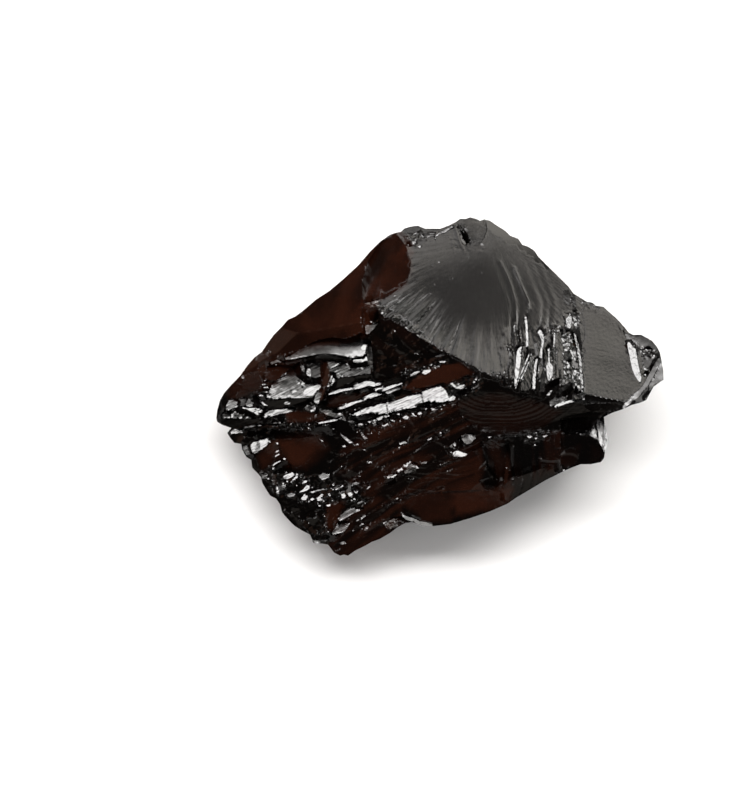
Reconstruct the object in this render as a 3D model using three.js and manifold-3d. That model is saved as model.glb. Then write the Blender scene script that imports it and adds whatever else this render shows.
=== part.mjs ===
// Shungite specimen: one hand-sized lump of black glassy stone, knapped and broken on every side.
// Millimetres, +Z up. The stone lies on its flat underside, which is in the plane z = 0, with the long
// way of the lump along X. The origin is the middle of the box around it, on the resting face.
// The lump starts as a block with the stone's own outline. Each fracture then takes away what lies
// beyond it: a flat break is a plane, a shell-like break is a wide shallow bowl, and a step or notch is
// a wedge between two planes.

import * as THREE from 'three';
import { mergeVertices, toCreasedNormals } from 'three/addons/utils/BufferGeometryUtils.js';
import Module from 'manifold-3d';

// ---- driving dimensions ----

// The stone seen from above, counter-clockwise from the tip on the left: 76.9 by 58.3 mm.
const OUTLINE = [
  [-38.5, -5.4], [-38.4, -6.1], [-35.9, -7.2], [-36.6, -8.0], [-36.1, -8.9], [-35.4, -9.7],
  [-34.2, -9.9], [-33.4, -12.2], [-32.5, -12.7], [-32.3, -14.1], [-30.8, -15.8], [-29.2, -18.9],
  [-28.2, -19.4], [-26.1, -23.0], [-22.3, -25.6], [-21.8, -27.0], [-19.2, -27.3], [-18.2, -28.7],
  [-15.8, -29.2], [-5.9, -23.5], [-0.9, -24.1], [5.3, -22.7], [11.8, -20.1], [21.6, -14.4],
  [24.2, -13.4], [27.7, -13.0], [28.9, -9.2], [28.2, -5.3], [35.4, -2.3], [36.6, -0.1],
  [38.4, 1.1], [38.4, 2.8], [37.8, 5.8], [36.5, 7.8], [34.6, 8.9], [32.5, 9.2],
  [28.2, 13.7], [26.8, 13.9], [23.0, 15.9], [16.3, 23.4], [14.2, 24.4], [13.5, 25.4],
  [12.2, 25.9], [8.7, 28.5], [5.3, 29.1], [3.5, 28.9], [0.1, 27.2], [-5.1, 27.5],
  [-8.5, 26.1], [-10.3, 24.9], [-16.3, 18.7], [-23.7, 12.8], [-26.1, 11.5], [-28.5, 8.9],
  [-30.6, 5.9], [-37.2, -1.1],
];
const BLOCK_HEIGHT = 35;

// A break: the point [x, y, z] it passes through, how far its outward normal leans from straight up,
// and the compass side it leans toward, in degrees counter-clockwise from +X.
// A bowl also has its radius, how far it reaches, and how many times wider than deep it is drawn out.
const CROWN = { at: [8.7, 8.0, 28.0], lean: 26.5, toward: 80, radius: 135, reach: 34, stretch: 3 };
const CROWN_TOP = { at: [9.0, 22.0, 21.9], lean: 25.5, toward: 80 };
const CROWN_RIGHT = { at: [17.0, 8.0, 27.0], lean: 27.5, toward: 70 };
const RIPPLE_BOWL = { at: [10.0, -5.0, 27.5], lean: 29, toward: -100, radius: 60, reach: 9, stretch: 1.5 };
const LEFT_EDGE = { at: [-10.4, 14.6, 27.7], lean: 38, toward: 124 };
const LEFT_SHELL = { at: [-10.6, 14.4, 27.8], lean: 33, toward: 140, radius: 400, reach: 60 };
const WING_UNDER = { at: [28.0, -2.6, 29.9], lean: 36, toward: -77 };
const FRONT_SLOPE = { at: [-6.8, -3.2, 24.5], lean: 27, toward: -130 };
const LEFT_SLOPE = { at: [-24.0, 1.0, 23.3], lean: 33, toward: 186 };
const LOWER_LEFT = { at: [-24.0, -16.1, 14.4], lean: 31, toward: -140 };
const LOWER_RIGHT = { at: [24.0, -10.5, 25.9], lean: 24, toward: -88 };

// Wedges: everything above all of the planes is gone.
const RIGHT_FACE = [
  { at: [25.1, -2.3, 30.4], lean: 28, toward: 69 },
  { at: [24.2, 5.0, 20.0], lean: 90, toward: 5 },
];
const NOTCH = [
  { at: [7.0, 1.4, 30.6], lean: 26, toward: -141 },
  { at: [-12.5, 7.0, 25.0], lean: 76, toward: 4 },
];
const WING_GAP = [
  { at: [23.5, -7.0, 25.8], lean: 38, toward: -95 },
  { at: [20.8, -7.0, 25.8], lean: 80, toward: 8 },
  { at: [23.5, -8.6, 25.8], lean: 62, toward: 88 },
];
const FLUTES = [
  [
    { at: [-22.0, 4.4, 24.2], lean: 12, toward: 98 },
    { at: [-22.0, 4.4, 24.2], lean: 72, toward: -80 },
    { at: [-12.6, 5.5, 24.0], lean: 60, toward: 178 },
  ],
  [
    { at: [-13.0, 1.0, 23.9], lean: 11, toward: 104 },
    { at: [-13.0, 1.0, 23.9], lean: 70, toward: -74 },
    { at: [-8.4, 1.6, 24.0], lean: 55, toward: 190 },
  ],
  [
    { at: [-6.8, -2.6, 23.7], lean: 10, toward: 103 },
    { at: [-6.8, -2.6, 23.7], lean: 70, toward: -75 },
    { at: [-3.0, -2.2, 24.6], lean: 50, toward: 188 },
  ],
];

// Breaks around the sides and toward the underside: these lean past level.
const SIDES = [
  { at: [-0.9, 28.9, 18.8], lean: 106, toward: 92 },
  { at: [-18.8, 18.9, 15.5], lean: 114, toward: 135 },
  { at: [-33.8, 10.6, 12.0], lean: 106, toward: 163 },
  { at: [-37.2, -10.0, 10.5], lean: 118, toward: 196 },
  { at: [-26.0, -24.4, 9.5], lean: 105, toward: 226 },
  { at: [-9.0, -30.2, 10.0], lean: 113, toward: 258 },
  { at: [11.0, -22.2, 13.5], lean: 103, toward: 295 },
  { at: [26.6, -18.0, 16.0], lean: 112, toward: 323 },
  { at: [37.4, -3.6, 22.0], lean: 110, toward: 352 },
  { at: [33.0, 15.6, 21.0], lean: 116, toward: 32 },
  { at: [19.5, 25.2, 19.0], lean: 107, toward: 60 },
  { at: [8.0, -21.0, 4.0], lean: 137, toward: 276 },
  { at: [31.0, 8.0, 5.0], lean: 139, toward: 14 },
  { at: [-28.0, 9.0, 4.0], lean: 141, toward: 150 },
  { at: [8.0, 24.0, 4.5], lean: 136, toward: 78 },
];
// Shell-like hollows in the sides.
const SIDE_SHELLS = [
  { at: [19.0, 18.0, 8.0], lean: 106, toward: 50, radius: 24, reach: 14 },
  { at: [-23.5, 11.0, 7.0], lean: 108, toward: 140, radius: 30, reach: 16 },
  { at: [0.5, -20.6, 7.5], lean: 104, toward: 280, radius: 22, reach: 13 },
  { at: [27.5, -5.0, 9.0], lean: 108, toward: 346, radius: 20, reach: 12 },
  { at: [-25.5, -15.5, 5.5], lean: 106, toward: 213, radius: 20, reach: 11 },
  { at: [2.5, 25.0, 9.0], lean: 102, toward: 96, radius: 26, reach: 14 },
  { at: [-35.0, -3.0, 5.5], lean: 112, toward: 182, radius: 18, reach: 10 },
  { at: [16.0, -17.0, 8.0], lean: 104, toward: 312, radius: 24, reach: 13 },
];

const BOWL_RINGS = 12;
const BOWL_SPOKES = 56;
const FAR = 160;
const CREASE = THREE.MathUtils.degToRad(14);

// ---- geometry helpers ----

const wasm = await Module();
wasm.setup();

function solidOf(geometry) {
  const bare = geometry.clone();
  bare.deleteAttribute('normal');
  bare.deleteAttribute('uv');
  const merged = mergeVertices(bare, 1e-4);
  return new wasm.Manifold(new wasm.Mesh({
    numProp: 3,
    vertProperties: new Float32Array(merged.attributes.position.array),
    triVerts: new Uint32Array(merged.index.array),
  }));
}

function outward({ lean, toward }) {
  const tilt = THREE.MathUtils.degToRad(lean);
  const side = THREE.MathUtils.degToRad(toward);
  return new THREE.Vector3(Math.sin(tilt) * Math.cos(side), Math.sin(tilt) * Math.sin(side), Math.cos(tilt));
}

function standOn(geometry, face) {
  const turn = new THREE.Quaternion().setFromUnitVectors(new THREE.Vector3(0, 0, 1), outward(face));
  geometry.applyQuaternion(turn);
  geometry.translate(...face.at);
  return solidOf(geometry);
}

// All the material on the outward side of a flat break.
function beyond(face) {
  const box = new THREE.BoxGeometry(2 * FAR, 2 * FAR, FAR);
  box.translate(0, 0, FAR / 2);
  return standOn(box, face);
}

// All the material inside a shallow round bowl whose lowest point touches the break.
function shell(face) {
  const profile = [];
  const widest = Math.asin(Math.min(0.95, face.reach / face.radius));
  for (let i = 0; i <= BOWL_RINGS; i += 1) {
    const angle = widest * i / BOWL_RINGS;
    profile.push(new THREE.Vector2(face.radius * Math.sin(angle), face.radius * (1 - Math.cos(angle))));
  }
  const rim = profile[BOWL_RINGS];
  profile.push(new THREE.Vector2(rim.x + FAR / 4, rim.y + FAR / 4 * Math.tan(widest)));
  profile.push(new THREE.Vector2(rim.x + FAR / 4, FAR));
  profile.push(new THREE.Vector2(0, FAR));
  const bowl = new THREE.LatheGeometry(profile, BOWL_SPOKES);
  bowl.rotateX(Math.PI / 2);
  bowl.scale(face.stretch ?? 1, 1, 1);
  return standOn(bowl, face);
}

function wedge([first, ...others]) {
  return others.reduce((solid, face) => solid.intersect(beyond(face)), beyond(first));
}

// ---- the lump ----

const outline = new THREE.Shape(OUTLINE.map(([x, y]) => new THREE.Vector2(x, y)));
const block = new THREE.ExtrudeGeometry(outline, { depth: BLOCK_HEIGHT, bevelEnabled: false });
let stone = solidOf(block);

for (const face of [CROWN, LEFT_SHELL, RIPPLE_BOWL, ...SIDE_SHELLS]) {
  stone = stone.subtract(shell(face));
}
for (const face of [
  CROWN_TOP, CROWN_RIGHT, LEFT_EDGE, WING_UNDER, FRONT_SLOPE, LEFT_SLOPE, LOWER_LEFT, LOWER_RIGHT, ...SIDES,
]) {
  stone = stone.subtract(beyond(face));
}
for (const step of [RIGHT_FACE, NOTCH, WING_GAP, ...FLUTES]) {
  stone = stone.subtract(wedge(step));
}

const cut = stone.getMesh();
const lump = new THREE.BufferGeometry();
lump.setAttribute('position', new THREE.BufferAttribute(new Float32Array(cut.vertProperties), 3));
lump.setIndex(new THREE.BufferAttribute(new Uint32Array(cut.triVerts), 1));
const crisp = toCreasedNormals(lump, CREASE);

const blackGlass = new THREE.MeshStandardMaterial({
  name: 'black glassy stone',
  color: new THREE.Color(0x120c0b),
  roughness: 0.14,
  metalness: 0.0,
});

const specimen = new THREE.Group();
specimen.name = 'shungite specimen';
const body = new THREE.Mesh(crisp, blackGlass);
body.name = 'stone';
specimen.add(body);

export default specimen;
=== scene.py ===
import math

import bpy
import numpy as np
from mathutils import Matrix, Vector, geometry


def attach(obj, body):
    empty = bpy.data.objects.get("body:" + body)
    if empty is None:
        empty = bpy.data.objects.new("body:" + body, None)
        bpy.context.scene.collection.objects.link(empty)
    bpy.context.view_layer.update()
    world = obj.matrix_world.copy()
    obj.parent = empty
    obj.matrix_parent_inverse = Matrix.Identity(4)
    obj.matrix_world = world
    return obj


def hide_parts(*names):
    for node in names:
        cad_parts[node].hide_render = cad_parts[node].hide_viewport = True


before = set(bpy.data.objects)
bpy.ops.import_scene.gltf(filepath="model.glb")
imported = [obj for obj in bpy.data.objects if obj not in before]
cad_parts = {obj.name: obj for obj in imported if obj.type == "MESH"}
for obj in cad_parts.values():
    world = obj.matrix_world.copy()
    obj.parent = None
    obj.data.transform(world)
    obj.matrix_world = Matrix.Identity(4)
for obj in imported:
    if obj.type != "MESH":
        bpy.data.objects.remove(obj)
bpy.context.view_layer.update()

MM = 0.001

# ---------------------------------------------------------------- the stone's measures
# Lengths are in millimetres and angles in degrees. A name that ends in _PX holds places in the plan,
# counted in pixels of the 739 x 808 frame, and at_px turns them into millimetres from the middle.

PX_PER_MM = 5.8
MIDDLE_PX = (439.5, 386.5)

# how far apart the mesh's points stand
FINE_SPACING = 0.21
PLAIN_SPACING = 0.36
EDGE_SPACING = 0.24
RIM_SPACING = 0.36
SOLE_SPACING = 1.6
PLAN_REACH = (40, 31)
# a small break's edge is this wide, and no other points stand in the squares of this size along it
EDGE_WIDE = 0.07
EDGE_CELL = 0.11
CELLS = 8192
NO_MERGE = 1e-5

# the sides run down from the rim in rings, which crowd together toward the rim
WALL_RINGS = 52
RING_CROWDING = 1.15
SIDE_ALLOWANCE = 1.3
CHIP_DEPTH = 3.3
SMOOTH_BELOW = 19

OUTLINE_PX = [
    (216, 418), (217, 410), (220, 400), (224, 393), (232, 384), (240, 376), (247, 366), (255, 357),
    (262, 352), (268, 343), (274, 335), (282, 327), (288, 320), (295, 317), (302, 312), (316, 300),
    (330, 291), (345, 278), (358, 266), (370, 252), (380, 242), (390, 235), (396, 233), (401, 232),
    (404, 229), (410, 227), (418, 226), (425, 229), (440, 229), (448, 226), (456, 222), (460, 219),
    (466, 219), (470, 217.5), (476, 219), (480, 221), (484, 219.5), (490, 221), (497, 226), (505, 231),
    (510, 236), (518, 239), (522, 245), (528, 247), (534, 251), (538, 257), (545, 264), (552, 271),
    (560, 279), (568, 287), (573, 294), (580, 298), (586, 302), (592, 303), (595, 306), (603, 307),
    (608, 312), (614, 317), (619, 322), (624, 328), (628, 333), (632, 335), (640, 335), (646, 338),
    (651, 341), (656, 347), (659, 353), (660, 360), (662, 370), (662, 380), (656, 384), (652, 387),
    (648, 394), (645, 400), (638, 403), (630, 405), (622, 409), (610, 413), (603, 417), (604, 425),
    (607, 440), (604, 452), (603, 458), (600, 462), (590, 464), (580, 464), (572, 467), (565, 470),
    (555, 475), (545, 480), (535, 486), (525, 492), (515, 498), (508, 503), (490, 511), (470, 518),
    (450, 524), (434, 526), (424, 526), (412, 522), (405, 523), (398, 527), (390, 533), (380, 539),
    (372, 542), (365, 546), (355, 551), (348, 556), (344, 555), (340, 556), (334, 553), (328, 545),
    (322, 544), (313, 543), (310, 535), (302, 531), (294, 526), (288, 520), (282, 513), (280, 505),
    (276, 499), (270, 496), (266, 490), (262, 483), (261, 478), (258, 474), (252, 468), (251, 460),
    (246, 457), (242, 450), (241, 444), (234, 443), (230, 438), (227, 433), (231, 428), (222, 425),
    (217, 422),
]

# the even faces, where a wider mesh is enough
PLAIN_FACES_PX = (
    [(418, 255), (500, 255), (560, 288), (556, 318), (505, 318), (470, 318), (440, 298), (412, 290)],
    [(587, 312), (602, 314), (624, 345), (628, 375), (616, 394), (588, 394)],
    [(388, 248), (396, 285), (362, 300), (356, 332), (300, 345), (288, 334)],
)


def at_px(px, py):
    return (px - MIDDLE_PX[0]) / PX_PER_MM, (MIDDLE_PX[1] - py) / PX_PER_MM


def shape(*points):
    return np.array([at_px(*p) for p in points])


# ---------------------------------------------------------------- small tools


def scatter(ix, iy, seed):
    """An even spread of numbers from 0 to 1, the same each run: one for each whole-numbered place."""
    h = (ix.astype(np.int64) * 374761393 + iy.astype(np.int64) * 668265263 + seed * 1442695041) & 0xFFFFFFFF
    h = ((h ^ (h >> 13)) * 1274126177) & 0xFFFFFFFF
    h = h ^ (h >> 16)
    h = (h * 2246822519) & 0xFFFFFFFF
    h = h ^ (h >> 15)
    return h / 4294967295.0


def noise(x, y, seed=0):
    """Smooth unevenness from -1 to 1, about one bump to a unit."""
    ix, iy = np.floor(x), np.floor(y)
    fx, fy = x - ix, y - iy
    u = fx**3 * (fx * (6 * fx - 15) + 10)
    v = fy**3 * (fy * (6 * fy - 15) + 10)
    a, b = scatter(ix, iy, seed), scatter(ix + 1, iy, seed)
    c, d = scatter(ix, iy + 1, seed), scatter(ix + 1, iy + 1, seed)
    return ((a * (1 - u) + b * u) * (1 - v) + (c * (1 - u) + d * u) * v) * 2 - 1


def rough_noise(x, y, seed=0, octaves=4):
    """Noise with finer noise laid over it."""
    total, size, whole = 0.0, 1.0, 0.0
    for i in range(octaves):
        total = total + size * noise(x * 2**i + 17.3 * i, y * 2**i - 9.1 * i, seed + i)
        whole += size
        size *= 0.5
    return total / whole


def ease(low, high, t):
    """A smooth step from 0 at low to 1 at high."""
    t = np.clip((t - low) / (high - low), 0, 1)
    return t * t * (3 - 2 * t)


def turned(x, y, angle):
    """How far each point lies along the angle and across it."""
    c, s = math.cos(math.radians(angle)), math.sin(math.radians(angle))
    return x * c + y * s, -x * s + y * c


def walk_round(polygon, spacing):
    """The closed polygon as a row of evenly spaced points."""
    points = []
    for (ax, ay), (bx, by) in zip(polygon, np.roll(polygon, -1, 0)):
        count = max(1, round(math.hypot(bx - ax, by - ay) / spacing))
        points += [(ax + (bx - ax) * i / count, ay + (by - ay) * i / count) for i in range(count)]
    return np.array(points)


def depth_inside(polygon, x, y):
    """Distance to the polygon's edge: positive inside, negative outside."""
    best = np.full(x.shape, 1e9)
    inside = np.zeros(x.shape, bool)
    for (ax, ay), (bx, by) in zip(polygon, np.roll(polygon, -1, 0)):
        dx, dy = bx - ax, by - ay
        t = np.clip(((x - ax) * dx + (y - ay) * dy) / (dx * dx + dy * dy + 1e-12), 0, 1)
        best = np.minimum(best, np.hypot(x - ax - t * dx, y - ay - t * dy))
        crosses = (ay > y) != (by > y)
        inside ^= crosses & (x < ax + (y - ay) * dx / (dy if abs(dy) > 1e-12 else 1e-12))
    return np.where(inside, best, -best)


def flakes(x, y, cell, lean, step, stretch=1.0, angle=0.0, seed=0):
    """Small flat plates side by side, each leaning its own way."""
    c, s = math.cos(math.radians(angle)), math.sin(math.radians(angle))
    u, v = (x * c + y * s) / (cell * stretch), (-x * s + y * c) / cell
    iu, iv = np.floor(u), np.floor(v)
    best = np.full(x.shape, 1e9)
    way, much, du, dv = (np.zeros(x.shape) for _ in range(4))
    for i in (-1, 0, 1):
        for j in (-1, 0, 1):
            cu, cv = iu + i, iv + j
            pu, pv = cu + scatter(cu, cv, seed), cv + scatter(cu, cv, seed + 7)
            d = (u - pu) ** 2 + (v - pv) ** 2
            near = d < best
            way = np.where(near, scatter(cu, cv, seed + 13), way)
            much = np.where(near, scatter(cu, cv, seed + 29), much)
            du = np.where(near, (u - pu) * cell * stretch, du)
            dv = np.where(near, (v - pv) * cell, dv)
            best = np.where(near, d, best)
    dx, dy = du * c - dv * s, du * s + dv * c
    slope = np.tan(math.radians(lean) * (0.35 + 0.65 * much))
    return (dx * np.cos(way * 2 * math.pi) + dy * np.sin(way * 2 * math.pi)) * slope + (much - 0.5) * step


def leaning(lean, toward):
    """The direction that a face looks in, leaning from straight up toward a heading."""
    t, a = math.radians(lean), math.radians(toward)
    return np.array([math.sin(t) * math.cos(a), math.sin(t) * math.sin(a), math.cos(t)])


def flat_break(x, y, at, lean, toward):
    n = leaning(lean, toward)
    return at[2] - ((x - at[0]) * n[0] + (y - at[1]) * n[1]) / n[2]


def shell_break(x, y, at, lean, toward, radius):
    """A break dished like the inside of a shell."""
    c = np.array(at) + leaning(lean, toward) * radius
    left = radius**2 - (x - c[0]) ** 2 - (y - c[1]) ** 2
    return c[2] - np.sqrt(np.maximum(left, 1.0))


# ---------------------------------------------------------------- the breaks that give the lump its shape
# Each is a point on the face, how far the face leans from level, and the heading it leans toward. A shell
# has its radius as well.

LEFT_EDGE = ((-10.4, 14.6, 27.7), 38, 124)
LEFT_SHELL = ((-10.6, 14.4, 27.8), 33, 140, 400)
RIGHT_FACE = ((25.1, -2.3, 30.4), 28, 69)
WING_UNDER = ((28.0, -2.6, 29.9), 36, -77)
FRONT_SLOPE = ((-6.8, -3.2, 24.5), 27, -130)
LEFT_SLOPE = ((-24.0, 1.0, 23.3), 33, 186)
LOWER_LEFT = ((-24.0, -16.1, 14.4), 31, -140)
NOTCH_FLOOR = ((7.0, 1.4, 30.6), 26, -141)
NOTCH_SIDE = ((-12.5, 7.0, 25.0), 76, 4)
BLOCK = ((24.0, -10.5, 25.9), 24, -88)

# the crown: a point on it, the heading it falls toward, and its lean at each y
CROWN = ((8.7, 15.6, 24.6), 80)
CROWN_SLOPE = [
    (-6, 32.5), (-1, 31.5), (3, 30.5), (6.5, 28.5), (9.5, 25.6), (12, 24.2), (17, 23.5), (21, 24.0),
    (25, 26.0), (30, 28.5),
]
CROWN_ROUNDING = 25
CORNER_FALL = 0.0075
HACKLE_HEIGHT = 0.105
# the crushed seam between the crown and the right face, as y and x
SEAM = [(-3.0, 24.8), (5.0, 24.2), (16.0, 23.0)]
# the line that the long folds follow down the crown's right side, as y and x
FOLD_LINE = [
    (-2, 15.3), (2, 15.3), (6, 15.2), (9.5, 14.7), (14.5, 15.0), (17.5, 13.7), (20, 12.8), (24, 11.0),
]
# the folds seen end on: how far each turn of the surface lies from that line, and its height
FOLD_PROFILE = [
    (-4.2, 0), (-3.0, 0.02), (-2.6, -0.2), (-1.9, -0.02), (-1.2, -0.16), (-0.35, 0.12), (0, 0.24),
    (0.3, -0.14), (1.3, 0.0), (1.9, 0.16), (2.4, 0.2), (2.7, -0.2), (3.6, 0.05), (4.0, -0.22), (4.9, 0.12),
    (5.4, -0.16), (7.0, 0.1), (9, 0),
]
FOLD_HEIGHT = 0.7
# the ridge below the crown, and the spot where the blow that split it fell
RIDGE_PX = [
    (371, 301), (392, 311), (410, 321), (430, 340), (452, 357), (480, 376), (512, 388), (545, 398),
    (583, 402),
]
BEHIND_CROWN_PX = [(583, 200), (371, 200)]
BLOW_PX = (492, 236)


def between(t, pairs):
    """The second of each pair, read off at t by the first."""
    at, values = zip(*pairs)
    return np.interp(t, at, values)


def crown(x, y):
    (ax, ay, az), toward = CROWN
    fine_y = np.arange(-6, 30, 0.1)
    fall = np.tan(np.radians(between(fine_y, CROWN_SLOPE)))
    fall = np.pad(fall, CROWN_ROUNDING // 2, mode="edge")
    fall = np.convolve(fall, np.ones(CROWN_ROUNDING) / CROWN_ROUNDING, mode="valid")
    drop = np.concatenate([[0], np.cumsum((fall[1:] + fall[:-1]) * 0.05)])
    drop = drop - np.interp(ay, fine_y, drop)
    z = az - np.interp(y, fine_y, drop) * math.sin(math.radians(toward))
    z = z - 0.08 * (x - ax) - 0.003 * np.maximum(0, x - 4) ** 2
    # it falls away at its upper left corner and down its far side
    corner = np.maximum(0, -0.5 * x + 0.85 * y - 14.5)
    z = z - CORNER_FALL * corner**2
    z = z - 0.012 * (y - 14) * ease(11, 17, x)
    z = z + 0.05 * rough_noise(x * 0.12, y * 0.12, 61, 2)
    # fine hackles that fan out from the blow and thicken toward the ridge
    px, py = at_px(*BLOW_PX)
    r, turn = np.hypot(x - px, y - py), np.arctan2(x - px, py - y)
    edge = depth_inside(shape(*RIDGE_PX, *BEHIND_CROWN_PX), x, y)
    lines = 1.3 * noise(turn * 40, r * 0.12, 5) + 0.5 * noise(turn * 78, r * 0.15, 6)
    near_edge = ease(11, 0.3, edge) ** 1.7
    z = z + HACKLE_HEIGHT * lines * (0.03 + near_edge) * ease(5, 13, r) * ease(0.5, 0.15, turn)
    # long folds down the right side
    u = x - between(y, FOLD_LINE)
    reach = ease(18, 5, y)
    folds = FOLD_HEIGHT * between(u, FOLD_PROFILE)
    z = z + folds * (0.15 + 0.85 * reach) * ease(-4.2, -3, u) * ease(23, 18, y)
    ribs = noise(u * 2.2, y * 0.12, 9) * 0.08 + noise(u * 4.0, y * 0.2, 10) * 0.04
    return z + ribs * reach * ease(-4, -1, u)


def notch(x, y):
    floor_ = flat_break(x, y, *NOTCH_FLOOR) + 0.3 * rough_noise(x * 0.4, y * 0.4, 21)
    return np.maximum(floor_, flat_break(x, y, *NOTCH_SIDE))


def upper_faces(x, y):
    """The crown, and the right face beyond the crushed seam."""
    beyond = ease(-0.1, 0.1, x - between(y, SEAM))
    right = flat_break(x, y, *RIGHT_FACE) + 0.05 * rough_noise(x * 0.2, y * 0.2, 63, 2)
    return crown(x, y) * (1 - beyond) + right * beyond


def big_breaks(x, y):
    return np.minimum.reduce([
        upper_faces(x, y),
        flat_break(x, y, *LEFT_EDGE),
        shell_break(x, y, *LEFT_SHELL),
        flat_break(x, y, *WING_UNDER),
        flat_break(x, y, *FRONT_SLOPE),
        flat_break(x, y, *LEFT_SLOPE),
        flat_break(x, y, *LOWER_LEFT),
        notch(x, y),
        flat_break(x, y, *BLOCK),
    ])


# ---------------------------------------------------------------- smaller breaks laid over the big ones
# A look is a lean and a heading. The first ones face the lamps and shine, and BLACK faces away from them.

WHITE = (10, 92)
BRIGHT = (12, 90)
LIGHT = (13.8, 92)
PALE = (15.8, 90)
GREY = (18.3, 88)
DIM = (22.5, 82)
BLACK = (46, -85)

# a break that leans less than this stands proud, and its steep front starts below its edge, falls away
# at this slope and reaches this far
PROUD_BELOW = 20
STEEP_DROP = 0.35
STEEP_RISE = 1.8
STEEP_REACH = 1.2
MOST_TREADS = 9


def chipped(polygon, waver, seed):
    """The polygon walked in short steps, its edge a little uneven."""
    line = walk_round(polygon, EDGE_SPACING)
    x, y = line.T
    dx = noise(x * 1.1, y * 1.1, seed + 101) + 0.4 * noise(x * 3.1, y * 3.1, seed + 103)
    dy = noise(x * 1.1, y * 1.1, seed + 107) + 0.4 * noise(x * 3.1, y * 3.1, seed + 109)
    return np.stack([x + waver * dx, y + waver * dy], 1)


def beside(line, offset, closed=True):
    """The line moved sideways."""
    if closed:
        way = np.roll(line, -1, 0) - np.roll(line, 1, 0)
    else:
        way = np.gradient(line, axis=0)
    way = way / np.maximum(np.hypot(*way.T)[:, None], 1e-9)
    return line + offset * np.stack([-way[:, 1], way[:, 0]], 1)


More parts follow.
